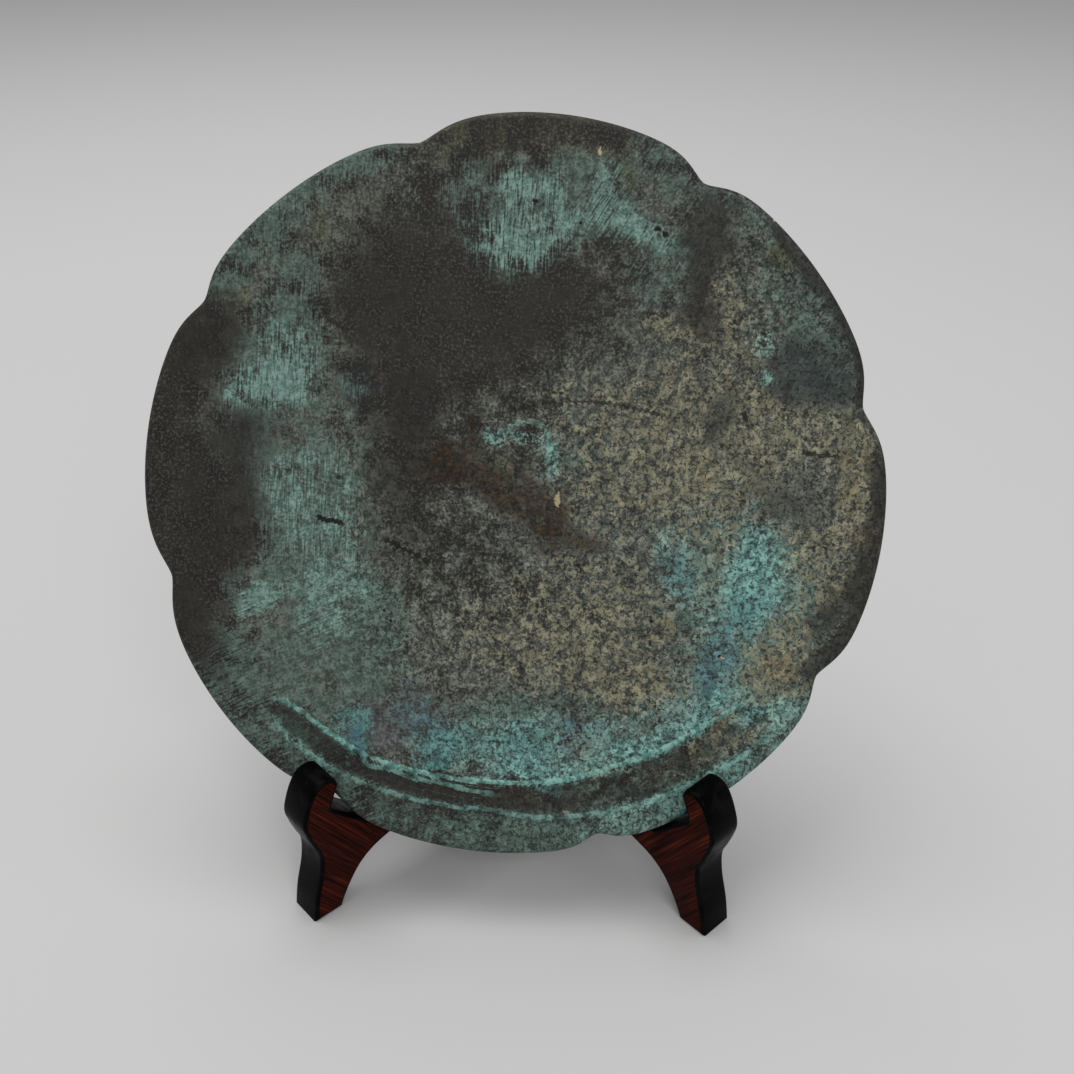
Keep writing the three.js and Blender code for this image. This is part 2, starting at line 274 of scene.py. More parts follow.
def ring_faces(rows: int, turns: int) -> list[tuple[int, ...]]:
    """Joins rings of vertices into the faces of a round body, with a fan at each end.

    Args:
        rows: How many rings there are.
        turns: How many vertices a ring has. The two ends' centres follow the last ring.

    Returns:
        The vertices of each face, wound so that it looks outwards.
    """
    front, back, last = rows * turns, rows * turns + 1, (rows - 1) * turns
    faces: list[tuple[int, ...]] = []
    for step in range(turns):
        after = (step + 1) % turns
        faces.append((front, step, after))
        for low in range(0, last, turns):
            high = low + turns
            faces.append((low + step, high + step, high + after, low + after))
        faces.append((back, last + after, last + step))
    return faces


def close_up(mesh: bpy.types.Mesh) -> None:
    """Merges the vertices of a mesh that lie on one another."""
    work = bmesh.new()
    work.from_mesh(mesh)
    bmesh.ops.remove_doubles(work, verts=work.verts, dist=0.001 * MM)
    work.to_mesh(mesh)
    work.free()
    mesh.update()


# the patina of the face


class Layer(Enum):
    """The kinds of patina, each the name of the mesh attribute that holds how much there is."""

    HAZE = "grey_green_haze"
    WASH = "teal_wash"
    VERDIGRIS = "pale_verdigris"
    EARTH = "tan_earth"
    OLIVE = "olive_stain"
    AZURE = "azure_bloom"
    DEEP = "deep_blue_bloom"
    MAUVE = "grey_mauve"
    INK = "blue_black"
    TURQUOISE = "turquoise_crust"
    OCHRE = "ochre_stain"
    RUST = "rust_stain"
    SOOT = "brown_black"


class Grain(Enum):
    """The patterns that break up the edge of a patch."""

    CLOUDS = "clouds"
    SPECKS = "specks"
    ISLANDS = "islands"
    STROKES = "strokes"


@dataclass(frozen=True)
class Patch:
    """One soft-edged oval of patina on the face, from its centre, in millimetres.

    Attributes:
        u: To the right of the face's centre.
        v: Up the face from its centre.
        wide: Half its width, before it is turned.
        tall: Half its height, before it is turned.
        turn: How far it is turned anticlockwise.
        amount: How much patina its middle has, from 0 to 1.
    """

    u: float
    v: float
    wide: float
    tall: float
    turn: float = 0
    amount: float = 1


@dataclass(frozen=True)
class RimBand:
    """A stretch of patina along the rim.

    Attributes:
        start: The angle where it begins, anticlockwise from the right-hand side.
        end: The angle where it ends.
        width: How far it reaches in from the edge, in millimetres.
        amount: How much patina it has, from 0 to 1.
    """

    start: float
    end: float
    width: float
    amount: float


PATCHES: dict[Layer, tuple[Patch, ...]] = {
    Layer.HAZE: (
        Patch(60, 5, 48, 40, 0, 0.85),
        Patch(88, -5, 24, 42, 0, 0.7),
        Patch(62, -40, 42, 36, 0, 0.9),
        Patch(20, -68, 64, 24, 0, 0.8),
        Patch(8, -30, 52, 32, 0, 0.32),
        Patch(-46, -52, 40, 28, 0, 0.7),
        Patch(-58, -15, 22, 42, 0, 0.85),
        Patch(-74, 35, 20, 28, 0, 0.6),
        Patch(-60, 86, 36, 18, 30, 0.55),
        Patch(22, 88, 32, 16, 0, 0.6),
        Patch(48, 62, 20, 20, 0, 0.4),
        Patch(78, 64, 20, 36, 40, 0.6),
        Patch(48, 28, 30, 18, 0, 0.6),
        Patch(8, 18, 26, 12, 0, 0.5),
        Patch(20, -6, 26, 16, 0, 0.5),
    ),
    Layer.WASH: (
        # the band along the upper left rim, and the upright swipe below it
        Patch(-53, 97, 15, 5, 28, 0.6),
        Patch(-71, 84, 9, 6, 42, 0.6),
        Patch(-87, 67, 10, 5, 60, 0.5),
        Patch(-66, 66, 7, 13, 0, 0.62),
        Patch(-69, 51, 9, 9, 0, 0.8),
        Patch(-71, 38, 13, 11, 0, 0.95),
        Patch(-74, 31, 13, 6),
        Patch(-75, 21, 14, 6, 0, 0.45),
        # the cloud at the lower left
        Patch(-67, -1, 11, 12),
        Patch(-70, -20, 9, 10, 0, 0.9),
        Patch(-75, -33, 9, 5, 20),
        Patch(-55, -31, 13, 9, 15, 0.95),
        Patch(-57, -42, 10, 6, 20, 0.95),
        Patch(-41, -32, 9, 8, 0, 0.8),
        Patch(-58, -16, 7, 8, 0, 0.8),
        Patch(-84, -28, 3, 6, 0, 0.6),
        Patch(-84, -53, 5, 11, 10, 0.6),
        Patch(-67, -54, 15, 11, 0, 0.75),
        Patch(-43, -56, 8, 6, 0, 0.85),
        Patch(-66, -66, 12, 6, -25, 0.5),
        Patch(-50, -70, 10, 7, -20, 0.6),
        Patch(-55, -14, 11, 34, 0, 0.75),
        Patch(-40, -48, 11, 17, 0, 0.7),
        # the cloud at the top
        Patch(-13, 90, 6, 10, 0, 0.4),
        Patch(1, 90, 8, 10, 0, 0.75),
        Patch(-1, 76, 12, 8, 0, 0.65),
        Patch(12, 78, 9, 8, 0, 0.7),
        Patch(12, 90, 8, 7, 0, 0.8),
        Patch(22, 98, 9, 4, -15, 0.6),
        Patch(27, 88, 7, 10, 0, 0.95),
        Patch(33, 79, 14, 5, -15, 0.9),
        Patch(49, 74, 5, 5, 0, 0.6),
        Patch(42, 66, 12, 7, 0, 0.42),
        Patch(-28, 85, 8, 9, 0, 0.15),
        # over the crescent and in the lower right
        Patch(1, -70, 16, 8, 0, 0.75),
        Patch(-9, -79, 14, 7, 0, 0.85),
        Patch(25, -68, 15, 8, 10, 0.6),
        Patch(46, -70, 10, 7, 25, 0.6),
        Patch(52, -24, 9, 10, 0, 0.5),
        Patch(48, -38, 9, 9, 0, 0.5),
        Patch(76, -20, 14, 9, 30, 0.6),
        Patch(78, -36, 9, 12, 0, 0.65),
        Patch(70, -56, 12, 8, 30, 0.6),
        Patch(35, 14, 14, 8, 0, 0.25),
        Patch(20, 18, 12, 10, 0, 0.35),
        Patch(86, 50, 12, 20, 30, 0.35),
    ),
    Layer.VERDIGRIS: (
        Patch(-74, 31, 11, 5),
        Patch(-69, 38, 8, 7, 0, 0.7),
        Patch(-70, 47, 6, 6, 0, 0.4),
        Patch(-75, -33, 8, 4, 20, 0.85),
        Patch(-67, 5, 8, 4, 0, 0.45),
        Patch(-66, -6, 6, 8, 0, 0.3),
        Patch(-57, -30, 8, 4, 15, 0.6),
        Patch(-57, -41, 6, 3, 15, 0.6),
        Patch(-45, -29, 6, 3, 15, 0.4),
        Patch(0, 91, 4, 7, 0, 0.8),
        Patch(2, 76, 10, 5, 0, 0.8),
        Patch(13, 81, 7, 6, 0, 0.65),
        Patch(27, 90, 4, 8, 0, 0.75),
        Patch(34, 80, 10, 3, -20, 0.8),
        Patch(12, 92, 5, 4, 0, 0.4),
        Patch(-47, 30, 4, 3, 0, 0.4),
        Patch(84, -58, 5, 4, 40, 0.7),
        # the pale cloud under the azure at the lower right, and the band over the crescent
        Patch(71, -28, 16, 26, 10, 0.85),
        Patch(84, -38, 14, 20, 0, 0.75),
        Patch(62, -60, 20, 13, 30, 0.75),
        Patch(84, -66, 9, 7, 45, 0.6),
        Patch(57, -12, 13, 11, 0, 0.5),
        Patch(30, -78, 32, 10, 12, 0.65),
        Patch(-2, -80, 26, 9, 0, 0.45),
        Patch(-54, -18, 10, 26, 0, 0.35),
    ),
    Layer.EARTH: (
        Patch(46, 26, 14, 12, 0, 0.6),
        Patch(44, 52, 6, 4, 0, 0.6),
        Patch(56, 50, 6, 5, 0, 0.65),
        Patch(68, 48, 6, 4, 0, 0.65),
        Patch(73, 42, 5, 6, 0, 0.7),
        Patch(64, 58, 8, 6, 0, 0.5),
        Patch(60, 34, 14, 10, -20, 0.3),
        Patch(77, 24, 20, 9, 0, 0.68),
        Patch(99, 20, 7, 9),
        Patch(104, 7, 6, 13),
        Patch(103, -10, 7, 5, 0, 0.95),
        Patch(55, 9, 15, 14, 0, 0.8),
        Patch(32, 6, 16, 14, 0, 0.55),
        Patch(72, 6, 12, 10, 0, 0.72),
        Patch(62, -14, 12, 9, 0, 0.6),
        Patch(88, -16, 9, 8, 0, 0.75),
        Patch(87, -38, 7, 13, 0, 0.85),
        Patch(97, -27, 5, 8, 0, 0.8),
        Patch(82, -52, 9, 9, 0, 0.9),
        Patch(33, -55, 11, 9, 0, 0.7),
        Patch(15, -50, 14, 10, 0, 0.55),
        Patch(44, -58, 8, 6, 0, 0.65),
        Patch(24, -28, 18, 14, 0, 0.3),
        Patch(34, -40, 14, 10, 0, 0.42),
        Patch(2, -40, 18, 14, 0, 0.35),
        Patch(30, -74, 8, 5, 0, 0.6),
        Patch(24, 26, 16, 8, 0, 0.35),
        Patch(28, -87, 14, 3, 12, 0.8),
    ),
    Layer.OLIVE: (
        Patch(-84, 56, 6, 5, 0, 0.45),
        Patch(-59, 80, 3, 6, 0, 0.5),
        Patch(32, 94, 3, 5, 0, 0.8),
        Patch(78, 71, 3, 5, 25, 0.9),
        Patch(-3, 11, 8, 5, 0, 0.5),
    ),
    Layer.AZURE: (
        Patch(72, -21, 6, 7),
        Patch(71, -32, 7, 9, 0, 0.95),
        Patch(76, -15, 6, 6, 0, 0.6),
        Patch(81, -31, 6, 5, 0, 0.55),
        Patch(64, -64, 6, 5, 25, 0.9),
        Patch(58, -71, 6, 4, 30, 0.9),
        Patch(40, -78, 9, 4, -10, 0.85),
        Patch(30, -72, 5, 5, 0, 0.6),
        Patch(13, -87, 12, 3, 5, 0.95),
        Patch(5, -80, 12, 6, 0, 0.75),
        Patch(-18, -78, 8, 7, 0, 0.8),
        Patch(-19, -83, 5, 3),
        Patch(-46, -74, 4, 7, 15, 0.8),
        Patch(-47, -69, 6, 3, 20, 0.6),
        Patch(52, -22, 9, 8, 0, 0.5),
        Patch(75, -68, 8, 3, 38, 0.7),
    ),
    Layer.DEEP: (
        Patch(61, -50, 5, 7, 0, 0.9),
        Patch(62, -59, 5, 5, 0, 0.85),
        Patch(68, -49, 4, 4, 0, 0.8),
        Patch(51, -21, 7, 6, 0, 0.3),
        Patch(65, -40, 4, 5, 0, 0.5),
        Patch(-28, -66, 5, 7, 20, 0.5),
        Patch(-24, -70, 6, 6, 0, 0.4),
        Patch(-46, -76, 3, 4, 15, 0.7),
        Patch(10, -84, 10, 3, 0, 0.5),
        Patch(22, -72, 8, 4, 0, 0.4),
    ),
    Layer.MAUVE: (
        Patch(-39, -66, 7, 6, 0, 0.8),
        Patch(-35, -73, 7, 5, 0, 0.7),
        Patch(-18, -62, 7, 5, 0, 0.4),
    ),
    Layer.INK: (
        Patch(83, 42, 11, 5, 10, 0.75),
        Patch(86, 34, 12, 4, 0, 0.85),
        Patch(97, 38, 6, 8, 0, 0.7),
        Patch(62, 22, 4, 7, 0, 0.6),
        Patch(84, 0, 11, 6, -15, 0.5),
        Patch(-47, 30, 6, 5, 0, 0.6),
        Patch(-79, 15, 8, 9, 0, 0.5),
    ),
    Layer.TURQUOISE: (
        Patch(74, 47, 4, 4, 0, 0.45),
        Patch(74, 36, 3, 3, 0, 0.6),
        Patch(73, -22, 9, 8, 0, 0.6),
        Patch(24, -84, 24, 5, 12, 0.6),
        Patch(44, -78, 14, 5, 25, 0.7),
        Patch(40, -92, 16, 5, 14, 0.4),
        Patch(-8, 18, 2, 2, 0, 0.7),
        Patch(1, 20, 6, 1.6, 0, 0.5),
        Patch(9, 18, 3, 2, 0, 0.6),
        Patch(11.6, 13, 1.4, 5, 10, 0.7),
        Patch(7, 9, 2, 2, 0, 0.4),
        Patch(-67, -76, 5, 4, -40, 0.7),
        Patch(-60, -81, 6, 3, -38, 0.55),
        Patch(80, -67, 6, 3, 45, 0.6),
        Patch(64, -65, 7, 2.6, 32, 0.7),
        Patch(57, -71, 6, 2.6, 32, 0.6),
    ),
    Layer.OCHRE: (
        Patch(84, -50, 5, 6, -20, 0.9),
        Patch(104, -12, 4, 3, 20, 0.7),
        Patch(67, -71, 5, 3, 40, 0.8),
        Patch(79, -62, 4, 3, 35, 0.7),
        Patch(57, 8, 5, 7, 0, 0.35),
        Patch(104, 8, 5, 10, 0, 0.4),
        Patch(58, -22, 5, 8, 0, 0.5),
        Patch(45, -40, 3, 3, 0, 0.5),
    ),
    Layer.RUST: (
        Patch(-9, 5, 11, 4, 5, 0.95),
        Patch(-19, 8, 7, 4, 0, 0.9),
        Patch(1, 1, 9, 5, -20, 0.9),
        Patch(10, -3, 5, 7, 20, 0.95),
        Patch(21, -14, 6, 3, -20, 0.85),
        Patch(12, -11, 6, 5, 0, 0.7),
        Patch(-11, 17, 2, 7, 0, 0.7),
        Patch(-8, 96, 6, 4, 0, 0.3),
    ),
    Layer.SOOT: (
        Patch(-95, 44, 9, 13, -30, 0.95),
        Patch(-86, 20, 7, 6, 0, 0.6),
        Patch(-83, 2, 4, 20, 0, 0.6),
        Patch(59, 82, 9, 10, 0, 0.8),
        Patch(55, 64, 6, 12, 0, 0.85),
        Patch(58, 53, 4, 6, 0, 0.7),
        Patch(-40, 60, 14, 24, 0, 0.35),
        Patch(0, 55, 26, 10, 0, 0.4),
        Patch(-30, 27, 6, 15, 0, 0.45),
        Patch(96, -38, 5, 13, -15, 0.6),
        Patch(104, -27, 5, 12, -15, 0.65),
        Patch(-96, -44, 6, 14, 20, 0.6),
        Patch(-92, -14, 9, 34, 0, 0.45),
        Patch(-36, 4, 10, 24, 0, 0.5),
        Patch(-78, -6, 6, 12, 0, 0.4),
        Patch(56, 72, 8, 10, 0, 0.5),
    ),
}

BANDS: dict[Layer, tuple[RimBand, ...]] = {
    Layer.WASH: (
        RimBand(210, 262, 15, 0.5),
        RimBand(262, 328, 16, 0.85),
        RimBand(20, 72, 12, 0.42),
        RimBand(106, 150, 10, 0.45),
    ),
    Layer.VERDIGRIS: (RimBand(282, 327, 14, 0.5),),
    Layer.OLIVE: (RimBand(72, 104, 12, 0.25),),
    Layer.AZURE: (RimBand(296, 312, 11, 0.3),),
    Layer.SOOT: (RimBand(-30, 8, 6, 0.95), RimBand(14, 48, 3.4, 0.9)),
}


@dataclass(frozen=True)
class FaceLine:
    """A thin line on the face, as a curve through points in millimetres from its centre.

    Attributes:
        points: The points that the curve goes through.
        amount: How strongly it shows, from 0 to 1.
        width: Half its width, in millimetres.
    """

    points: tuple[Point, ...]
    amount: float
    width: float


CRESCENT_TOP = FaceLine(
    (
        (-75.2, -68.9),
        (-73.5, -66),
        (-69.4, -65.9),
        (-63, -70),
        (-53.5, -76.9),
        (-42.5, -82.9),
        (-28.5, -87),
        (-12.5, -89.4),
        (3, -89.8),
        (17.5, -88.6),
        (27.5, -85.8),
        (45, -79.2),
        (55, -74),
        (72, -63),
        (84, -56.5),
    ),
    0.95,
    0.21,
)
CRESCENT_FOOT = FaceLine(
    (
        (-75.2, -68.9),
        (-72.7, -73),
        (-66.5, -79.4),
        (-55.5, -86.6),
        (-44, -91.6),
        (-31.5, -95.3),
        (-15.5, -98.2),
        (-6.2, -98.4),
        (9.5, -100.6),
        (28, -98.9),
        (45.5, -94.1),
        (59, -87.8),
        (71.5, -80.3),
        (82, -70.7),
        (86.5, -61),
    ),
    0.45,
    0.12,
)
SQUIGGLE = FaceLine(
    (
        (-49.3, -87),
        (-49.8, -84),
        (-47.1, -81.6),
        (-44.6, -82.9),
        (-43.5, -85.5),
        (-41, -86.2),
        (-38.3, -86.4),
        (-35, -87.4),
        (-31, -88.6),
        (-26, -90),
        (-21, -90.6),
        (-10, -93),
        (0, -94.2),
    ),
    0.55,
    0.12,
)
RING_EDGE = FaceLine(
    (
        (-9.6, 18.8),
        (-7, 17),
        (-3.5, 19),
        (1.5, 21.6),
        (7, 22.2),
        (11, 18.5),
        (11.7, 13.3),
        (10.6, 9.3),
        (13.8, 2.5),
    ),
    0.5,
    0.16,
)
CRUST_LINES = (CRESCENT_TOP, CRESCENT_FOOT, SQUIGGLE, RING_EDGE)

CRACK_LINES = (
    FaceLine(
        (
            (-6.2, 22.8),
            (-0.8, 25.4),
            (6, 27.2),
            (14.4, 28.3),
            (23.2, 28.6),
            (32, 27.9),
            (41.4, 25.9),
            (52.2, 23.2),
        ),
        0.7,
        0.12,
    ),
    FaceLine(((-39.6, -14), (-36.8, -15.4), (-32.6, -17.4), (-27.1, -20.1), (-23.3, -22.5)), 0.9, 0.17),
    FaceLine(((-23.3, -22.5), (-19.5, -27.4), (-14.7, -28.7), (-9.8, -28)), 0.55, 0.12),
    FaceLine(((-59.4, -8.2), (-57.6, -8.8), (-54.2, -9.4), (-50.7, -10.4)), 0.95, 0.18),
    FaceLine(((-54.6, 4.8), (-52.6, 4.1), (-51.2, 3.6)), 0.7, 0.14),
    FaceLine(((-54.3, 2), (-51.2, 1.6)), 0.55, 0.13),
    FaceLine(((-32.3, -50.7), (-30.5, -47.1)), 0.6, 0.15),
    FaceLine(((87.1, 14.8), (93.1, 14), (99.1, 13.7)), 0.7, 0.16),
    FaceLine(((69.5, 26.9), (70.2, 24.2), (69.9, 22.9)), 0.9, 0.22),
)


@dataclass(frozen=True)
class Chip:
    """A small pit or chip in the face.

    Attributes:
        u: To the right of the face's centre, in millimetres.
        v: Up the face from its centre, in millimetres.
        wide: Half its width, in millimetres.
        tall: Half its height, in millimetres.
        pale: 1 where it shows pale core, 0 where it is only dark.
    """

    u: float
    v: float
    wide: float
    tall: float
    pale: float


CHIPS = (
    Chip(24.4, 102.3, 0.55, 0.95, 0.8),
    Chip(76.6, 83.2, 0.4, 0.4, 0.8),
    Chip(14.2, -1.1, 0.75, 2.1, 0.7),
    Chip(66.1, -48.6, 0.5, 0.35, 0.9),
    Chip(64.9, -48, 0.6, 0.4, 0),
    Chip(5.7, 87.6, 0.7, 0.6, 0),
    Chip(42.2, 80.1, 0.8, 0.5, 0),
    Chip(44.4, 78.3, 0.8, 0.5, 0),
    Chip(19.3, 81.4, 0.4, 0.4, 0),
    Chip(-38.4, -36.6, 0.4, 0.4, 0),
    Chip(-36.4, -39.8, 0.4, 0.35, 0),
    Chip(43.8, -37.9, 0.45, 0.45, 0),
    Chip(-58.8, -8.2, 0.7, 0.6, 0),
)


@dataclass
class FacePatina:
    """Where each kind of patina lies on the polished face.

    Attributes:
        wander: How far the patches' outlines wander from true ovals, in millimetres.
        wander_size: The distance between the bends of that wandering.
        soft: The share of a patch's reach over which it fades out.
        line_reach: How far from a line its offset is still used.
        chip_reach: How far from a chip its place is still used.
    """

    wander: float = 6
    wander_size: float = 17
    soft: float = 0.75
    line_reach: float = 4
    chip_reach: float = 4

    def _wandered(self, place: np.ndarray) -> np.ndarray:
        """Shifts points by soft noise, so that the patches' outlines turn irregular."""
        shift = [cloud(place, self.wander_size, seed, 4) for seed in (11, 12)]
        return place + self.wander * np.column_stack(shift)

    def amounts(self, place: np.ndarray, edge_distance: np.ndarray) -> dict[Layer, np.ndarray]:
        """Works out how much of each kind of patina there is at each point of the face.

        Args:
            place: The points, as millimetres right of and up from the face's centre.
            edge_distance: How far each point is from the mirror's edge, in millimetres.

        Returns:
            The amount for each layer, from 0 to 1.
        """
        moved = self._wandered(place)
        angle = np.degrees(np.arctan2(moved[:, 1], moved[:, 0]))
        amounts = {}
        for layer in Layer:
            bare = np.ones(len(place))
            for patch in PATCHES[layer]:
                turn = math.radians(patch.turn)
                du, dv = moved[:, 0] - patch.u, moved[:, 1] - patch.v
                across = (du * math.cos(turn) + dv * math.sin(turn)) / patch.wide
                up = (dv * math.cos(turn) - du * math.sin(turn)) / patch.tall
                reach = np.hypot(across, up)
                bare *= 1 - patch.amount * ease(1 + self.soft, 1 - self.soft, reach)
            for band in BANDS.get(layer, ()):
                middle, half = (band.start + band.end) / 2, (band.end - band.start) / 2
                off = np.abs((angle - middle + 180) % 360 - 180)
                ends = ease(half + 4, half - 4, off)
                depth = edge_distance + 0.6 * (moved - place)[:, 0]
                bare *= 1 - band.amount * ends * ease(band.width * 1.35, band.width * 0.65, depth)
            amounts[layer] = 1 - bare
        return amounts

    def inside_crescent(self, place: np.ndarray) -> np.ndarray:
        """Says how far each point is inside the crescent: its distance to the nearer line."""
        above = line_offset(place, curve_through(CRESCENT_TOP.points, 5))[0]
        below = line_offset(place, curve_through(CRESCENT_FOOT.points, 5))[0]
        return np.minimum(-above, below)

    def lines(
        self, place: np.ndarray, kinds: Sequence[FaceLine]
    ) -> tuple[np.ndarray, np.ndarray, np.ndarray]:
        """Measures the nearest of some lines, for a material or a relief to draw it.

        Args:
            place: The points, in millimetres.
            kinds: The lines.

        Returns:
            The signed distance to the nearest line, how strongly that line shows, and half its
            width.
        """
        offset = np.full(len(place), self.line_reach)
        amount = np.zeros(len(place))
        width = np.full(len(place), kinds[0].width)
        for line in kinds:
            signed, along = line_offset(place, curve_through(line.points, 5))
            ends = np.minimum(ease(-0.001, 0.08, along), ease(1.001, 0.85, along))
            closer = np.abs(signed) < np.abs(offset)
            offset[closer] = signed[closer]
            amount[closer] = (line.amount * ends)[closer]
            width[closer] = line.width
        amount[np.abs(offset) >= self.line_reach] = 0
        return offset, amount, width

    def chips(self, place: np.ndarray) -> tuple[np.ndarray, np.ndarray]:
        """Gives each point's place in the nearest chip, as shares of the chip's half sizes.

        Args:
            place: The points, in millimetres.

        Returns:
            A vector for each point, whose length is 1 on the chip's edge, and how pale the
            chip is.
        """
        spot = np.full((len(place), 3), 9.0)
        pale = np.zeros(len(place))
        nearest = np.full(len(place), self.chip_reach)
        for chip in CHIPS:
            rel = place - (chip.u, chip.v)
            distance = np.hypot(rel[:, 0], rel[:, 1])
            closer = distance < nearest
            nearest[closer] = distance[closer]
            spot[closer, 0] = rel[closer, 0] / chip.wide
            spot[closer, 1] = rel[closer, 1] / chip.tall
            spot[closer, 2] = 0
            pale[closer] = chip.pale
        return spot, pale


# finishes


@dataclass(frozen=True)
class Coat:
    """One layer of patina over those before it.

    Attributes:
        layer: Which amounts it follows.
        colour: Its main colour.
        fleck: The colour that mottles it.
        grain: The pattern that breaks up its edge.
        breakup: How much the pattern moves the edge.
        fine: How much the finest specks move the edge.
        soft: How softly it fades, as a share of the amount.
        cover: How much of what is under it it hides at most.
    """

    layer: Layer
    colour: str
    fleck: str
    grain: Grain
    breakup: float
    fine: float
    soft: float
    cover: float


@dataclass(frozen=True)
class PatinatedCastBronze:
    """Cast tin bronze, polished long ago and patinated by burial, as the eye sees it.

    The metal has gone charcoal brown and nearly matt, with a little sheen left from the old
    polish. Copper salts lie on it as thin teal washes, azure blooms and turquoise crusts, and
    tan earth is left in small islands with dark cracks between them.

    Attributes:
        name: The material's name.
        ground: The charcoal brown of the bare patina.
        ground_dark: Its darker clouds.
        ground_fleck: The lighter grey-brown grains that speckle it.
        pit: The near-black of the fine pitting between the grains.
        speck: The size of the grains. They are about 0.3 mm and drawn at 0.9 mm to show.
        clouds: The size of the soft clouds in a wash.
        islands: The distance between the islands of earth.
        crackle: The distance between the fine veins that cross the salts and the earth.
        crackle_bend: The distance between the bends of a vein.
        crackle_wander: How far a vein wanders from straight.
        pitting: The distance between the clusters of dark pits.
        stroke_width: The width of a brush mark. It is about 0.2 mm and drawn at 0.6 mm to show.
        stroke_length: The length of a brush mark.
        roughness: Of the bare patina.
        crust_roughness: Of the salts and the earth.
        metallic: How much metal still shows through the bare patina.
        specular: How strongly the surface mirrors the light.
        relief: The height of the grains, in millimetres.
        crust: The pale turquoise of the raised crust lines.
        crust_fleck: The darker turquoise that mottles them.
        crack: The inside of a crack.
        chip_pale: The cream core that a chip lays bare.
        coats: The layers of patina, each over those before it.
    """

    name: str = "patinated_cast_bronze"
    ground: str = "#2e2c27"
    ground_dark: str = "#201e1b"
    ground_fleck: str = "#5d5b52"
    pit: str = "#121110"
    speck: float = 0.9
    clouds: float = 8
    islands: float = 3
    crackle: float = 2.2
    crackle_bend: float = 1.6
    crackle_wander: float = 1.8
    pitting: float = 1.3
    stroke_width: float = 0.6
    stroke_length: float = 6
    roughness: float = 0.55
    crust_roughness: float = 0.8
    metallic: float = 0.2
    specular: float = 0.3
    relief: float = 0.3
    crust: str = "#8cbab0"
    crust_fleck: str = "#50827a"
    crack: str = "#0e0c0a"
    chip_pale: str = "#c9b995"
    coats: tuple[Coat, ...] = (
        Coat(Layer.HAZE, "#7a7f74", "#50554e", Grain.CLOUDS, 2.4, 0.9, 0.5, 0.9),
        Coat(Layer.WASH, "#61776f", "#46584f", Grain.STROKES, 2.4, 0.7, 0.48, 0.85),
        Coat(Layer.VERDIGRIS, "#87a99f", "#678880", Grain.STROKES, 2.8, 1.0, 0.5, 0.75),
        Coat(Layer.MAUVE, "#5a5a62", "#454046", Grain.CLOUDS, 2.2, 0.8, 0.45, 0.55),
        Coat(Layer.EARTH, "#8a856c", "#5d6056", Grain.ISLANDS, 3.0, 1.2, 0.38, 0.85),
        Coat(Layer.OLIVE, "#5c5936", "#3b3921", Grain.CLOUDS, 2.2, 0.8, 0.45, 0.6),
        Coat(Layer.INK, "#1f2529", "#333b3d", Grain.ISLANDS, 3.0, 1.2, 0.4, 0.75),
        Coat(Layer.AZURE, "#66a3a0", "#498086", Grain.ISLANDS, 3.2, 1.5, 0.5, 0.56),
        Coat(Layer.DEEP, "#3a7080", "#2b505c", Grain.ISLANDS, 3.2, 1.5, 0.5, 0.55),
        Coat(Layer.TURQUOISE, "#85b0a5", "#4f8078", Grain.ISLANDS, 2.6, 1.5, 0.4, 0.7),
        Coat(Layer.OCHRE, "#8f8060", "#6f6a50", Grain.CLOUDS, 2.2, 0.9, 0.5, 0.65),
        Coat(Layer.RUST, "#3d2b14", "#20170b", Grain.ISLANDS, 3.2, 1.6, 0.38, 0.8),
        Coat(Layer.SOOT, "#221e1a", "#2e2a25", Grain.CLOUDS, 2.2, 0.6, 0.45, 0.8),
    )

    def build(self) -> bpy.types.Material:
        """Makes the material.

        Returns:
            The new material, which reads the attributes that CastMirror writes.
        """
        material, tree = blank_material(self.name)
        place = add_node(tree, ATTRIBUTE, {"attribute_name": "face_place"}, out="Vector")
        grains = self._grains(tree, place)
        speck, clouds = grains[Grain.SPECKS], grains[Grain.CLOUDS]
        shade = add_node(tree, RAMP, SMOOTH, {"Value": clouds, "From Min": 0.38, "From Max": 0.6})
        dark, bare = linear(self.ground_dark), linear(self.ground)
        colour = add_node(tree, MIX, COLOURS, {0: shade, 6: dark, 7: bare}, out=2)
        fleck = add_node(
            tree, RAMP, SMOOTH, {"Value": speck, "From Min": 0.48, "From Max": 0.7, "To Max": 0.6}
        )
        colour = add_node(tree, MIX, COLOURS, {0: fleck, 6: colour, 7: linear(self.ground_fleck)}, out=2)
        matt = add_node(tree, RAMP, SMOOTH, {"Value": speck, "From Min": 0.3, "From Max": 0.9})
        lumps = add_node(tree, MATH, {"operation": "MULTIPLY"}, {0: grains[Grain.ISLANDS], 1: 1.2})
        height = add_node(tree, MATH, {"operation": "MULTIPLY_ADD"}, {0: speck, 1: 0.7, 2: lumps})
        spots = add_node(
            tree, MATH, {"operation": "MULTIPLY_ADD"}, {0: speck, 1: 0.7, 2: grains[Grain.ISLANDS]}
        )
        mottle = add_node(tree, RAMP, SMOOTH, {"Value": spots, "From Min": 1.0, "From Max": 0.7})
        for coat in self.coats:
            mask = self._coat_mask(tree, coat, grains)
            mottled = add_node(
                tree, MIX, COLOURS, {0: mottle, 6: linear(coat.colour), 7: linear(coat.fleck)}, out=2
            )
            colour = add_node(tree, MIX, COLOURS, {0: mask, 6: colour, 7: mottled}, out=2)
            if coat.layer not in (Layer.SOOT, Layer.INK):
                matt = add_node(tree, MATH, {"operation": "MAXIMUM"}, {0: matt, 1: mask})
        colour = self._pit_and_scratch(tree, place, colour, grains)
        colour, height = self._draw_lines(tree, colour, height, grains)
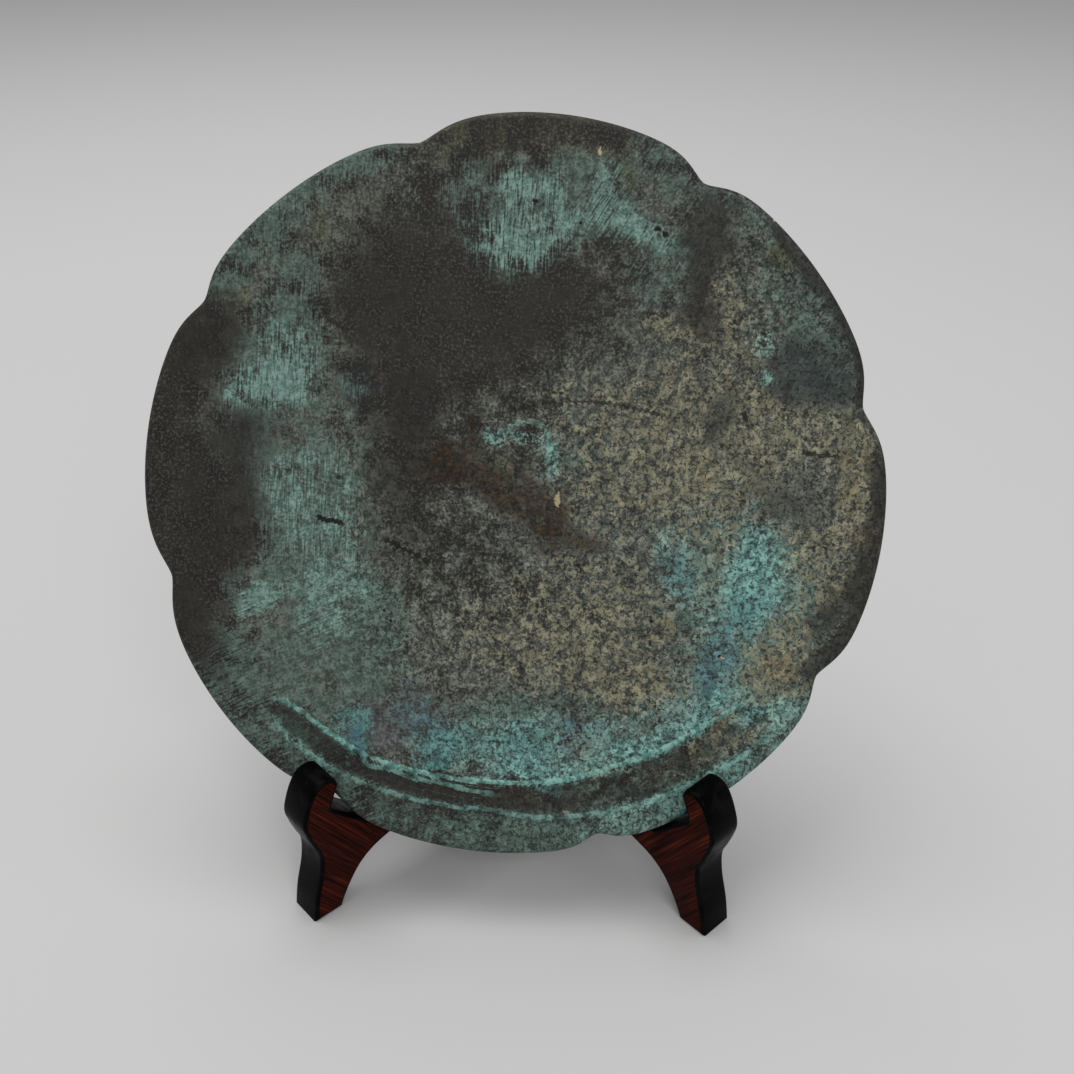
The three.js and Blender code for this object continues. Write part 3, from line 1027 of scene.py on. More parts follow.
        metallic = add_node(
            tree,
            RAMP,
            None,
            {"Value": matt, "From Min": 0.1, "From Max": 0.8, "To Min": self.metallic, "To Max": 0.0},
        )
        roughness = add_node(
            tree, RAMP, None, {"Value": matt, "To Min": self.roughness, "To Max": self.crust_roughness}
        )
        depth = self.relief * MM
        normal = add_node(tree, BUMP, None, {"Strength": 0.5, "Distance": depth, "Height": height})
        surface = add_node(
            tree,
            SURFACE,
            None,
            {
                "Base Color": colour,
                "Metallic": metallic,
                "Roughness": roughness,
                "Specular IOR Level": self.specular,
                "Normal": normal,
            },
        )
        add_node(tree, OUTPUT, None, {"Surface": surface})
        return material

    def _grains(
        self, tree: bpy.types.NodeTree, place: bpy.types.NodeSocket
    ) -> dict[Grain, bpy.types.NodeSocket]:
        """Makes the patterns that break up the coats, each from 0 to 1.

        Args:
            tree: The node tree.
            place: Where on the mirror it is, in millimetres.

        Returns:
            A socket for each pattern.
        """
        grains = {
            grain: add_node(
                tree,
                NOISE,
                FLAT_NOISE,
                {"Vector": place, "Scale": 1 / size, "Detail": detail, "Roughness": roughness},
            )
            for grain, size, detail, roughness in (
                (Grain.CLOUDS, self.clouds, 5.0, 0.68),
                (Grain.SPECKS, self.speck, 2.0, 0.7),
                (Grain.ISLANDS, self.islands, 4.0, 0.74),
            )
        }
        marks = grains[Grain.CLOUDS]
        for name, turn in (("brushed_upright", 88.0), ("brushed_slanted", 24.0), ("brushed_steep", 58.0)):
            stroke = self._strokes(tree, place, name, turn)
            marks = add_node(tree, MATH, {"operation": "ADD"}, {0: marks, 1: stroke})
        grains[Grain.STROKES] = marks
        return grains

    def _strokes(
        self, tree: bpy.types.NodeTree, place: bpy.types.NodeSocket, name: str, turn: float
    ) -> bpy.types.NodeSocket:
        """Makes brush marks in one direction where an attribute asks for them.

        Args:
            tree: The node tree.
            place: Where on the mirror it is, in millimetres.
            name: The attribute with how strongly they show.
            turn: Their direction, anticlockwise from the right.

        Returns:
            A socket with the marks, from about -0.5 to 0.5.
        """
        turned = add_node(
            tree, TURN, {"rotation_type": "Z_AXIS"}, {"Vector": place, "Angle": -math.radians(turn)}
        )
        stretch = (1 / self.stroke_length, 1 / self.stroke_width, 1)
        stretched = add_node(tree, VECTOR, {"operation": "MULTIPLY"}, {0: turned, 1: stretch})
        fine = add_node(
            tree, NOISE, FLAT_NOISE, {"Vector": stretched, "Scale": 1.0, "Detail": 2.0, "Roughness": 0.6}
        )
        centred = add_node(tree, MATH, {"operation": "SUBTRACT"}, {0: fine, 1: 0.5})
        shown = add_node(tree, ATTRIBUTE, {"attribute_name": name}, out="Fac")
        return add_node(tree, MATH, {"operation": "MULTIPLY"}, {0: centred, 1: shown})

    def _coat_mask(
        self, tree: bpy.types.NodeTree, coat: Coat, grains: dict[Grain, bpy.types.NodeSocket]
    ) -> bpy.types.NodeSocket:
        """Works out where a coat covers what is under it.

        Args:
            tree: The node tree.
            coat: The coat.
            grains: The patterns.

        Returns:
            A socket with how much the coat covers, from 0 to its cover.
        """
        amount = add_node(tree, ATTRIBUTE, {"attribute_name": coat.layer.value}, out="Fac")
        level = amount
        for grain, breakup in ((coat.grain, coat.breakup), (Grain.SPECKS, coat.fine)):
            shift = add_node(
                tree, MATH, {"operation": "MULTIPLY_ADD"}, {0: grains[grain], 1: breakup, 2: -breakup / 2}
            )
            level = add_node(tree, MATH, {"operation": "ADD"}, {0: level, 1: shift})
        mask = add_node(
            tree,
            RAMP,
            SMOOTH,
            {
                "Value": level,
                "From Min": 0.5 - coat.soft,
                "From Max": 0.5 + coat.soft,
                "To Max": coat.cover,
            },
        )
        some = add_node(tree, RAMP, SMOOTH, {"Value": amount, "From Min": 0.02, "From Max": 0.22})
        return add_node(tree, MATH, {"operation": "MULTIPLY"}, {0: mask, 1: some})

    def _pit_and_scratch(
        self,
        tree: bpy.types.NodeTree,
        place: bpy.types.NodeSocket,
        colour: bpy.types.NodeSocket,
        grains: dict[Grain, bpy.types.NodeSocket],
    ) -> bpy.types.NodeSocket:
        """Lays the fine pitting, the crackle's veins and the dark brush marks over the coats.

        Args:
            tree: The node tree.
            place: Where on the mirror it is, in millimetres.
            colour: The colour so far.
            grains: The patterns.

        Returns:
            The new colour.
        """
        pitted = add_node(tree, ATTRIBUTE, {"attribute_name": "pitted"}, out="Fac")
        shift = add_node(
            tree,
            NOISE,
            FLAT_NOISE,
            {"Vector": place, "Scale": 1 / self.crackle_bend, "Detail": 1.0},
            out="Color",
        )
        reach = (self.crackle_wander, self.crackle_wander, 0.0)
        warped = add_node(tree, VECTOR, {"operation": "MULTIPLY_ADD"}, {0: shift, 1: reach, 2: place})
        cells = {"Vector": warped, "Scale": 1 / self.crackle}
        edge = add_node(tree, CELLS, FLAT_CELLS | {"feature": "DISTANCE_TO_EDGE"}, cells, out="Distance")
        plate = add_node(tree, CELLS, FLAT_CELLS, cells, out="Color")
        lighter = add_node(tree, MATH, {"operation": "SUBTRACT"}, {0: plate, 1: 0.45})
        lighter = add_node(tree, MATH, {"operation": "MULTIPLY"}, {0: lighter, 1: pitted})
        lighter = add_node(tree, MATH, {"operation": "MULTIPLY_ADD"}, {0: lighter, 1: 1.1, 2: 1.0})
        colour = add_node(tree, VECTOR, {"operation": "SCALE"}, {0: colour, "Scale": lighter})
        veins = add_node(
            tree, RAMP, SMOOTH, {"Value": edge, "From Min": 0.12, "From Max": 0.01, "To Max": 0.95}
        )
        grit = add_node(
            tree,
            NOISE,
            FLAT_NOISE,
            {"Vector": warped, "Scale": 1 / self.pitting, "Detail": 2.0, "Roughness": 0.7},
        )
        dots = add_node(tree, RAMP, SMOOTH, {"Value": grit, "From Min": 0.48, "From Max": 0.34})
        gaps = add_node(
            tree, RAMP, SMOOTH, {"Value": grains[Grain.ISLANDS], "From Min": 0.58, "From Max": 0.4}
        )
        veined = add_node(tree, MATH, {"operation": "MULTIPLY"}, {0: veins, 1: gaps})
        dark = add_node(tree, MATH, {"operation": "MAXIMUM"}, {0: dots, 1: veined})
        dark = add_node(tree, MATH, {"operation": "MULTIPLY"}, {0: dark, 1: pitted})
        marks = add_node(
            tree, MATH, {"operation": "SUBTRACT"}, {0: grains[Grain.CLOUDS], 1: grains[Grain.STROKES]}
        )
        scratch = add_node(
            tree, RAMP, SMOOTH, {"Value": marks, "From Min": 0.04, "From Max": 0.18, "To Max": 0.4}
        )
        dark = add_node(tree, MATH, {"operation": "MAXIMUM"}, {0: dark, 1: scratch})
        return add_node(tree, MIX, COLOURS, {0: dark, 6: colour, 7: linear(self.pit)}, out=2)

    def _draw_lines(
        self,
        tree: bpy.types.NodeTree,
        colour: bpy.types.NodeSocket,
        height: bpy.types.NodeSocket,
        grains: dict[Grain, bpy.types.NodeSocket],
    ) -> tuple[bpy.types.NodeSocket, bpy.types.NodeSocket]:
        """Draws the crust lines, the cracks and the chips over the coats.

        Args:
            tree: The node tree.
            colour: The colour so far.
            height: The relief so far.
            grains: The patterns.

        Returns:
            The new colour and the new relief.
        """
        islands = grains[Grain.ISLANDS]
        crust = self._line_mask(tree, "crust", islands, 0.8)
        faded = add_node(
            tree,
            RAMP,
            SMOOTH,
            {"Value": grains[Grain.CLOUDS], "From Min": 0.36, "From Max": 0.54, "To Min": 0.4},
        )
        tinted = add_node(tree, MATH, {"operation": "MULTIPLY"}, {0: crust, 1: faded})
        mottle = add_node(tree, RAMP, SMOOTH, {"Value": islands, "From Min": 0.42, "From Max": 0.56})
        crust_colour = add_node(
            tree, MIX, COLOURS, {0: mottle, 6: linear(self.crust_fleck), 7: linear(self.crust)}, out=2
        )
        colour = add_node(tree, MIX, COLOURS, {0: tinted, 6: colour, 7: crust_colour}, out=2)
        crack = self._line_mask(tree, "crack", grains[Grain.SPECKS], 0.15)
        colour = add_node(tree, MIX, COLOURS, {0: crack, 6: colour, 7: linear(self.crack)}, out=2)
        spot = add_node(tree, ATTRIBUTE, {"attribute_name": "chip_place"}, out="Vector")
        reach = add_node(tree, VECTOR, {"operation": "LENGTH"}, {0: spot}, out="Value")
        ragged = add_node(
            tree, MATH, {"operation": "MULTIPLY_ADD"}, {0: grains[Grain.SPECKS], 1: 2.4, 2: -1.2}
        )
        reach = add_node(tree, MATH, {"operation": "ADD"}, {0: reach, 1: ragged})
        pale = add_node(tree, ATTRIBUTE, {"attribute_name": "chip_pale"}, out="Fac")
        chip = add_node(tree, RAMP, SMOOTH, {"Value": reach, "From Min": 1.25, "From Max": 0.85})
        rim = add_node(
            tree, RAMP, SMOOTH, {"Value": reach, "From Min": 1.9, "From Max": 1.1, "To Max": 0.5}
        )
        shaded = add_node(tree, MIX, COLOURS, {0: rim, 6: colour, 7: linear(self.crack)}, out=2)
        core = add_node(
            tree, MIX, COLOURS, {0: pale, 6: linear(self.crack), 7: linear(self.chip_pale)}, out=2
        )
        colour = add_node(tree, MIX, COLOURS, {0: chip, 6: shaded, 7: core}, out=2)
        for mask, rise in ((crust, 1.2), (crack, -1.5), (chip, -1.5)):
            height = add_node(tree, MATH, {"operation": "MULTIPLY_ADD"}, {0: mask, 1: rise, 2: height})
        return colour, height

    def _line_mask(
        self, tree: bpy.types.NodeTree, name: str, grain: bpy.types.NodeSocket, lumps: float
    ) -> bpy.types.NodeSocket:
        """Draws lines from the offset, width and amount that the mesh holds.

        Args:
            tree: The node tree.
            name: The first word of the three attributes' names.
            grain: The pattern that makes the line lumpy.
            lumps: How far the pattern moves the line's edge, in millimetres.

        Returns:
            A socket with how much the line covers, from 0 to 1.
        """
        offset, width, amount = (
            add_node(tree, ATTRIBUTE, {"attribute_name": f"{name}_{part}"}, out="Fac")
            for part in ("offset", "width", "amount")
        )
        away = add_node(tree, MATH, {"operation": "ABSOLUTE"}, {0: offset})
        lump = add_node(
            tree, MATH, {"operation": "MULTIPLY_ADD"}, {0: grain, 1: -lumps, 2: lumps / 2}
        )
        uneven = add_node(tree, MATH, {"operation": "ADD"}, {0: away, 1: lump})
        share = add_node(tree, MATH, {"operation": "DIVIDE"}, {0: uneven, 1: width})
        mask = add_node(tree, RAMP, SMOOTH, {"Value": share, "From Min": 1.4, "From Max": 0.6})
        return add_node(tree, MATH, {"operation": "MULTIPLY"}, {0: mask, 1: amount})


@dataclass(frozen=True)
class OiledRosewood:
    """Rosewood, sawn, sanded and oiled: dark red-brown with darker and lighter streaks.

    Attributes:
        name: The material's name.
        colour: The red-brown of the wood.
        dark: The nearly black streaks.
        light: The lighter streaks.
        grain: The width of a streak.
        grain_length: The length of a streak.
        grain_turn: The direction of the grain, from level towards the rear and up.
        pore_depth: How deep the pores are.
        roughness: Of the oiled surface.
        specular: How strongly the surface mirrors the light, kept low for a deep colour.
    """

    name: str = "oiled_rosewood"
    colour: str = "#3a120a"
    dark: str = "#150503"
    light: str = "#5a2211"
    grain: float = 0.8
    grain_length: float = 24
    grain_turn: float = -55
    pore_depth: float = 0.1
    roughness: float = 0.45
    specular: float = 0.03

    def build(self) -> bpy.types.Material:
        """Makes the material, which reads the board's own place from an attribute."""
        material, tree = blank_material(self.name)
        place = add_node(tree, ATTRIBUTE, {"attribute_name": "board_place"}, out="Vector")
        turned = add_node(
            tree,
            TURN,
            {"rotation_type": "Z_AXIS"},
            {"Vector": place, "Angle": -math.radians(self.grain_turn)},
        )
        stretch = (1 / self.grain_length, 1 / self.grain, 1 / self.grain)
        stretched = add_node(tree, VECTOR, {"operation": "MULTIPLY"}, {0: turned, 1: stretch})
        streaks = add_node(
            tree,
            NOISE,
            None,
            {"Vector": stretched, "Scale": 1.0, "Detail": 4.0, "Roughness": 0.65, "Distortion": 0.3},
        )
        broad = add_node(tree, NOISE, None, {"Vector": stretched, "Scale": 0.16, "Detail": 2.0})
        streaked = add_node(tree, RAMP, SMOOTH, {"Value": streaks, "From Min": 0.36, "From Max": 0.56})
        lit = add_node(tree, RAMP, SMOOTH, {"Value": streaks, "From Min": 0.54, "From Max": 0.7})
        colour = add_node(
            tree, MIX, COLOURS, {0: streaked, 6: linear(self.dark), 7: linear(self.colour)}, out=2
        )
        colour = add_node(tree, MIX, COLOURS, {0: lit, 6: colour, 7: linear(self.light)}, out=2)
        shade = add_node(
            tree,
            RAMP,
            None,
            {"Value": broad, "From Min": 0.35, "From Max": 0.65, "To Min": 0.55, "To Max": 1.25},
        )
        colour = add_node(tree, VECTOR, {"operation": "SCALE"}, {0: colour, "Scale": shade})
        depth = self.pore_depth * MM
        normal = add_node(tree, BUMP, None, {"Strength": 0.25, "Distance": depth, "Height": streaks})
        surface = add_node(
            tree,
            SURFACE,
            None,
            {
                "Base Color": colour,
                "Roughness": self.roughness,
                "Specular IOR Level": self.specular,
                "IOR": 1.5,
                "Normal": normal,
            },
        )
        add_node(tree, OUTPUT, None, {"Surface": surface})
        return material


@dataclass(frozen=True)
class BlackLacquer:
    """Black lacquer, brushed on the sawn edges: deep black, half glossy, with the saw's ripple.

    Attributes:
        name: The material's name.
        colour: The black of the lacquer.
        worn: The brown-grey where it is rubbed.
        ripple: The distance between the ripples, drawn at 1.2 mm to show.
        ripple_depth: How deep they are.
        roughness: Of the lacquer.
        worn_roughness: Where it is rubbed.
        specular: How strongly the surface mirrors the light, kept low for a deep black.
    """

    name: str = "black_lacquered_edge"
    colour: str = "#030303"
    worn: str = "#0f0e0d"
    ripple: float = 1.2
    ripple_depth: float = 0.15
    roughness: float = 0.3
    worn_roughness: float = 0.48
    specular: float = 0.03

    def build(self) -> bpy.types.Material:
        """Makes the material, which reads the board's own place from an attribute."""
        material, tree = blank_material(self.name)
        place = add_node(tree, ATTRIBUTE, {"attribute_name": "board_place"}, out="Vector")
        patchy = add_node(
            tree, NOISE, None, {"Vector": place, "Scale": 1 / (self.ripple * 4), "Detail": 4.0}
        )
        fine = add_node(tree, NOISE, None, {"Vector": place, "Scale": 1 / self.ripple, "Detail": 3.0})
        wear = add_node(tree, RAMP, SMOOTH, {"Value": patchy, "From Min": 0.45, "From Max": 0.7})
        colour = add_node(
            tree, MIX, COLOURS, {0: wear, 6: linear(self.colour), 7: linear(self.worn)}, out=2
        )
        roughness = add_node(
            tree, RAMP, None, {"Value": wear, "To Min": self.roughness, "To Max": self.worn_roughness}
        )
        depth = self.ripple_depth * MM
        normal = add_node(tree, BUMP, None, {"Strength": 0.35, "Distance": depth, "Height": fine})
        surface = add_node(
            tree,
            SURFACE,
            None,
            {
                "Base Color": colour,
                "Roughness": roughness,
                "Specular IOR Level": self.specular,
                "IOR": 1.5,
                "Normal": normal,
            },
        )
        add_node(tree, OUTPUT, None, {"Surface": surface})
        return material


@dataclass(frozen=True)
class PaleFloor:
    """Matt pale grey board, as a studio floor.

    Attributes:
        name: The material's name.
        colour: Its pale grey.
        roughness: Nearly fully matt.
        specular: How strongly the surface mirrors the light.
    """

    name: str = "matt_pale_floor"
    colour: str = "#cbcbca"
    roughness: float = 0.9
    specular: float = 0.1

    def build(self) -> bpy.types.Material:
        """Makes the material."""
        material, tree = blank_material(self.name)
        surface = add_node(
            tree,
            SURFACE,
            None,
            {
                "Base Color": linear(self.colour),
                "Roughness": self.roughness,
                "Specular IOR Level": self.specular,
            },
        )
        add_node(tree, OUTPUT, None, {"Surface": surface})
        return material


# the mirror


@dataclass(frozen=True)
class RimNotch:
    """A notch between two lobes of the rim, as on the CAD part.

    Attributes:
        at: Its angle, anticlockwise from the right-hand side of the face.
        depth: How far it is drawn in, in millimetres.
        spread: The angle over which that dies away.
        shoulder: How far the rim stands out at the notch, but for its depth.
        crown: How far it stands out at the middle of the next lobe.
    """

    at: float
    depth: float
    spread: float
    shoulder: float
    crown: float


NOTCHES = (
    RimNotch(15, 4.1, 4.6, 0.2, 0.2),
    RimNotch(59.3, 4.5, 4, 0.4, 0.95),
    RimNotch(105.6, 3.8, 4.8, -0.8, -0.2),
    RimNotch(149, 3.5, 4, 0.8, 0.6),
    RimNotch(194.7, 3.9, 5.2, -0.4, 0.65),
    RimNotch(240, 4, 4.5, 0.2, -0.15),
    RimNotch(285.3, 3.5, 3.1, -0.1, 0.6),
    RimNotch(330.6, 3.9, 4.2, -0.2, 0.5),
)


@dataclass
class CastMirror:
    """The bronze mirror: one casting, its face plain, its back with a rim, a ring and a knob.

    Attributes:
        radius: From the centre to the rim, notches and lobes apart.
        notch_power: 2 would round the notches off fully, 1 would make them sharp.
        lobed_from: The rings of the mesh follow the lobes from this radius outwards.
        lean: How far the face leans back.
        face_bevel: The width of the worn edge of the face.
        face_bevel_right: Its width on the right-hand side, where it is broader.
        face_bevel_depth: How far it drops.
        rim_thickness: Through the rim.
        rim_width: Of the flat rim on the back.
        rim_step: The width of the slope from the rim down to the plate.
        plate_thickness: Inside the rim.
        back_bevel: Round the edge of the back.
        ring_radius: To the middle of the plain ring on the back.
        ring_width: Of that ring.
        ring_height: Of that ring.
        knob_radius: Of the knob.
        knob_height: Of the knob.
        knob_shoulder: The knob's side stands straight up to this height.
        hole_radius: Of the cord hole through the knob.
        hole_floor: Between the cord hole and the plate.
        turns: Segments round the mirror.
        fine_ring: Between two rings of the mesh near the rim.
        wide_ring: Between two rings of the mesh near the centre.
        fine_from: The rings are fine from this radius outwards.
        patina: What lies where on the face.
        finish: The bronze.
    """

    radius: float = 113
    notch_power: float = 1.6
    lobed_from: float = 70
    lean: float = 26.4
    face_bevel: float = 1.6
    face_bevel_right: float = 2.9
    face_bevel_depth: float = 1.1
    rim_thickness: float = 5
    rim_width: float = 9
    rim_step: float = 1.5
    plate_thickness: float = 3
    back_bevel: float = 0.8
    ring_radius: float = 62
    ring_width: float = 4.4
    ring_height: float = 1
    knob_radius: float = 12.5
    knob_height: float = 11.5
    knob_shoulder: float = 3
    hole_radius: float = 3.6
    hole_floor: float = 0.6
    turns: int = 576
    fine_ring: float = 0.6
    wide_ring: float = 1.25
    fine_from: float = 72
    patina: FacePatina = field(default_factory=FacePatina)
    finish: PatinatedCastBronze = field(default_factory=PatinatedCastBronze)

    def __post_init__(self) -> None:
        """Finds the face's centre: the CAD face's middle vertex, in millimetres."""
        out = self._axes()[2]
        dots = np.array([v.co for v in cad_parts["mirror"].data.vertices]) / MM
        ahead = dots @ out
        face = dots[ahead > ahead.max() - 0.01]
        self._centre = face[np.argmin(np.linalg.norm(face - face.mean(0), axis=1))]

    def build(self) -> bpy.types.Object:
        """Builds the mirror in place of the CAD node, and dresses it.

        Returns:
            The mirror.
        """
        rows, place, depth = self._rings()
        mirror = new_piece("bronze_mirror", self._to_frame(place, depth), ring_faces(rows, self.turns))
        self._write_attributes(mirror.data, place, depth, True)
        knob = self._knob()
        self._write_attributes(knob.data, *self._from_frame(knob.data), False)
        finish = self.finish.build()
        pieces = [mirror, knob]
        for piece in pieces:
            piece.data.materials.clear()
            piece.data.materials.append(finish)
        bpy.context.view_layer.update()
        with bpy.context.temp_override(
            active_object=mirror,
            object=mirror,
            selected_objects=pieces,
            selected_editable_objects=pieces,
        ):
            bpy.ops.object.join()
        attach(mirror, "root")
        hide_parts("mirror")
        return mirror

    def _axes(self) -> tuple[np.ndarray, np.ndarray, np.ndarray]:
        """Gives the face's directions: right, up the face, and out of it."""
        lean = math.radians(self.lean)
        return (
            np.array((1.0, 0.0, 0.0)),
            np.array((0.0, math.sin(lean), math.cos(lean))),
            np.array((0.0, -math.cos(lean), math.sin(lean))),
        )

    def _to_frame(self, place: np.ndarray, depth: np.ndarray) -> np.ndarray:
        """Turns places on the mirror to metres in the part's frame."""
        right, up, out = self._axes()
        moved = self._centre + place[:, :1] * right + place[:, 1:] * up - depth[:, None] * out
        return moved * MM

    def _from_frame(self, mesh: bpy.types.Mesh) -> tuple[np.ndarray, np.ndarray]:
        """Turns a mesh's vertices back to places on the mirror and depths behind its face."""
        right, up, out = self._axes()
        rel = np.array([v.co for v in mesh.vertices]) / MM - self._centre
        return np.column_stack([rel @ right, rel @ up]), -(rel @ out)

    def _rim_offset(self, degrees: np.ndarray) -> np.ndarray:
        """Says how far the rim stands out from the radius at each angle, as on the CAD part."""
        offset = np.zeros(len(degrees))
        for i, notch in enumerate(NOTCHES):
            after = NOTCHES[(i + 1) % len(NOTCHES)]
            width = (after.at - notch.at) % 360
            turned = (degrees - notch.at) % 360
            share = turned / width
            bow = (
                notch.shoulder * (1 - share) * (1 - 2 * share)
                + notch.crown * 4 * share * (1 - share)
                + after.shoulder * share * (2 * share - 1)
            )
            left = width - turned
            inside = turned < width
            dips = notch.depth * np.exp(-((turned / notch.spread) ** self.notch_power))
            dips += after.depth * np.exp(-((np.abs(left) / after.spread) ** self.notch_power))
            offset[inside] = (bow - dips)[inside]
        return offset

    def _section(self) -> list[tuple[float, float, float]]:
        """Lists the rings of the mesh from the face's centre round to the back's centre.

        Returns:
            For each ring: its radius, its depth behind the face, and 1 on the face or 0 off it.
        """
        edge, bevel = self.radius, self.face_bevel_right
        rings = [(r, 0.0, 1.0) for r in np.arange(self.wide_ring, self.fine_from, self.wide_ring)]
        rings += [(r, 0.0, 1.0) for r in np.arange(self.fine_from, edge - bevel, self.fine_ring)]
        rings += [(edge - bevel * s, 0.0, 1.0) for s in (1, 0.85, 0.7, 0.55, 0.4, 0.27, 0.16, 0.07, 0)]
        top, side = self.face_bevel_depth, self.rim_thickness - self.back_bevel
        rings += [(edge, top + (side - top) * s, 0.0) for s in (0.3, 0.7, 1)]
        rings += [
            (edge - self.back_bevel * (1 - math.cos(t)), side + self.back_bevel * math.sin(t), 0.0)
            for t in (math.pi / 6, math.pi / 3, math.pi / 2)
        ]
        inner = edge - self.rim_width
        rings += [(inner + s, self.rim_thickness, 0.0) for s in (5.5, 3, 0.8)]
        drop = self.rim_thickness - self.plate_thickness
        rings += [
            (inner - self.rim_step * s, self.rim_thickness - drop * float(ease(0, 1, np.array(s))), 0.0)
            for s in (0.0, 0.25, 0.5, 0.75, 1.0)
        ]
        plate = self.plate_thickness
        half = self.ring_width / 2
        outer, inside = self.ring_radius + half, self.ring_radius - half
        rings += [(r, plate, 0.0) for r in np.arange(inner - self.rim_step - 4, outer + 2, -7)]
        rings += [
            (self.ring_radius + half * math.cos(t), plate + self.ring_height * math.sin(t) ** 0.6, 0.0)
            for t in np.linspace(0, math.pi, 9)
        ]
        rings += [(r, plate, 0.0) for r in np.arange(inside - 3, 4, -9)]
        return rings

    def _rings(self) -> tuple[int, np.ndarray, np.ndarray]:
        """Works out every vertex of the mirror but for its knob.

        Returns:
            How many rings there are, the vertices' places on the mirror, and their depths
            behind the plane of the face. The last two vertices are the two centres.
        """
        rings = self._section()
        degrees = np.arange(self.turns) * 360 / self.turns
        offset = self._rim_offset(degrees)
        angle = np.radians(degrees)
        places, depths = [], []
        bevel = self.face_bevel + (self.face_bevel_right - self.face_bevel) * np.clip(
            np.cos(angle - math.radians(12)) * 1.6, 0, 1
        )
        for radius, depth, on_face in rings:
            share = ease(self.lobed_from, self.radius - self.rim_width, np.full(self.turns, radius))
            reach = radius + offset * share
            places.append(np.column_stack([reach * np.cos(angle), reach * np.sin(angle)]))
            sunk = np.full(self.turns, depth)
            if on_face:
                inward = np.clip(1 - (self.radius - radius) / bevel, 0, 1)
                sunk = self.face_bevel_depth * inward**1.8
            depths.append(sunk)
        places.append(np.zeros((2, 2)))
        depths.append(np.array((0.0, self.plate_thickness)))
        place, depth = np.concatenate(places), np.concatenate(depths)
        face_count = self.turns * sum(1 for ring in rings if ring[2])
        chosen = np.r_[0:face_count, len(place) - 2]
        depth[chosen] -= self._relief(place[chosen])
        return len(rings), place, depth

    def _edge_distance(self, place: np.ndarray) -> np.ndarray:
        """Says how far points are from the mirror's edge, in millimetres."""
        degrees = np.degrees(np.arctan2(place[:, 1], place[:, 0])) % 360
        return self.radius + self._rim_offset(degrees) - np.hypot(place[:, 0], place[:, 1])

    def _relief(self, place: np.ndarray) -> np.ndarray:
        """Works out the low relief of the face, in millimetres out of it.

        Args:
            place: The points of the face.

        Returns:
            The height at each point: crusts stand up, and the crescent's inside lies
            low.
        """
        inner = ease(0, 4, self._edge_distance(place))
        swell = 0.1 * cloud(place, 34, 21) + 0.03 * cloud(place, 7, 22)
        crust = np.zeros(len(place))
        for line, rise in ((CRESCENT_TOP, 0.4), (CRESCENT_FOOT, 0.22), (SQUIGGLE, 0.15)):
            away = np.abs(line_offset(place, curve_through(line.points, 5))[0])
            lumps = 1 + 0.5 * cloud(place, 3, 23)
            crust = np.maximum(crust, rise * lumps * np.exp(-((away / (line.width * 1.4)) ** 2)))
        low = -0.22 * ease(0, 2.5, self.patina.inside_crescent(place))
        amounts = self.patina.amounts(place, self._edge_distance(place))
        rough = 0.16 * amounts[Layer.RUST] * (0.6 + cloud(place, 3.4, 24))
        spots = 0.1 * amounts[Layer.EARTH] * ease(-0.1, 0.3, cloud(place, 4, 25))
        return inner * (swell + crust + low + rough + spots)

    def _knob(self) -> bpy.types.Object:
        """Builds the knob: a domed boss with the cord hole through it.

        Returns:
            The knob, sunk a little into the back.
        """
        sink, sides, steps = 0.4, 72, 12
        plate, foot, fillet = self.plate_thickness, self.knob_radius + 1.2, 0.35
        profile = [
            (foot, plate - sink),
            (foot, plate),
            (self.knob_radius + fillet, plate + fillet),
            (self.knob_radius, plate + 1.2),
        ]
        dome = self.knob_height - self.knob_shoulder
        for turn in (math.pi / 2 * step / steps for step in range(steps)):
            height = self.knob_shoulder + dome * math.sin(turn)
            profile.append((self.knob_radius * math.cos(turn), plate + height))
        angle = np.arange(sides) * 2 * math.pi / sides
        circle = np.column_stack([np.cos(angle), np.sin(angle)])
        place = np.concatenate([radius * circle for radius, _ in profile] + [np.zeros((2, 2))])
        ends = np.array((plate - sink, plate + self.knob_height))
        depth = np.concatenate([np.full(sides, height) for _, height in profile] + [ends])
        knob = new_piece("knob", self._to_frame(place, depth), ring_faces(len(profile), sides))
        hole = self._hole()
        cutter = knob.modifiers.new("cord hole", "BOOLEAN")
        cutter.operation = "DIFFERENCE"
        cutter.solver = "EXACT"
        cutter.object = hole
        bpy.context.view_layer.update()
        done = bpy.data.meshes.new_from_object(knob.evaluated_get(bpy.context.evaluated_depsgraph_get()))
        knob.modifiers.clear()
        knob.data = done
        bpy.data.objects.remove(hole)
        return knob

    def _hole(self) -> bpy.types.Object:
        """Builds the solid that the cord hole is cut with: a round bar from side to side."""
        sides = 32
        reach = self.knob_radius * 1.6
        depth = self.plate_thickness + self.hole_floor + self.hole_radius
        angle = np.arange(sides) * 2 * math.pi / sides
        ring_v, ring_d = self.hole_radius * np.cos(angle), depth + self.hole_radius * np.sin(angle)
        place = np.concatenate([np.column_stack([np.full(sides, x), ring_v]) for x in (-reach, reach)])
        faces: list[tuple[int, ...]] = [
            (s, (s + 1) % sides, sides + (s + 1) % sides, sides + s) for s in range(sides)
        ]
        faces += [tuple(reversed(range(sides))), tuple(range(sides, 2 * sides))]
        return new_piece("cord hole", self._to_frame(place, np.tile(ring_d, 2)), faces)

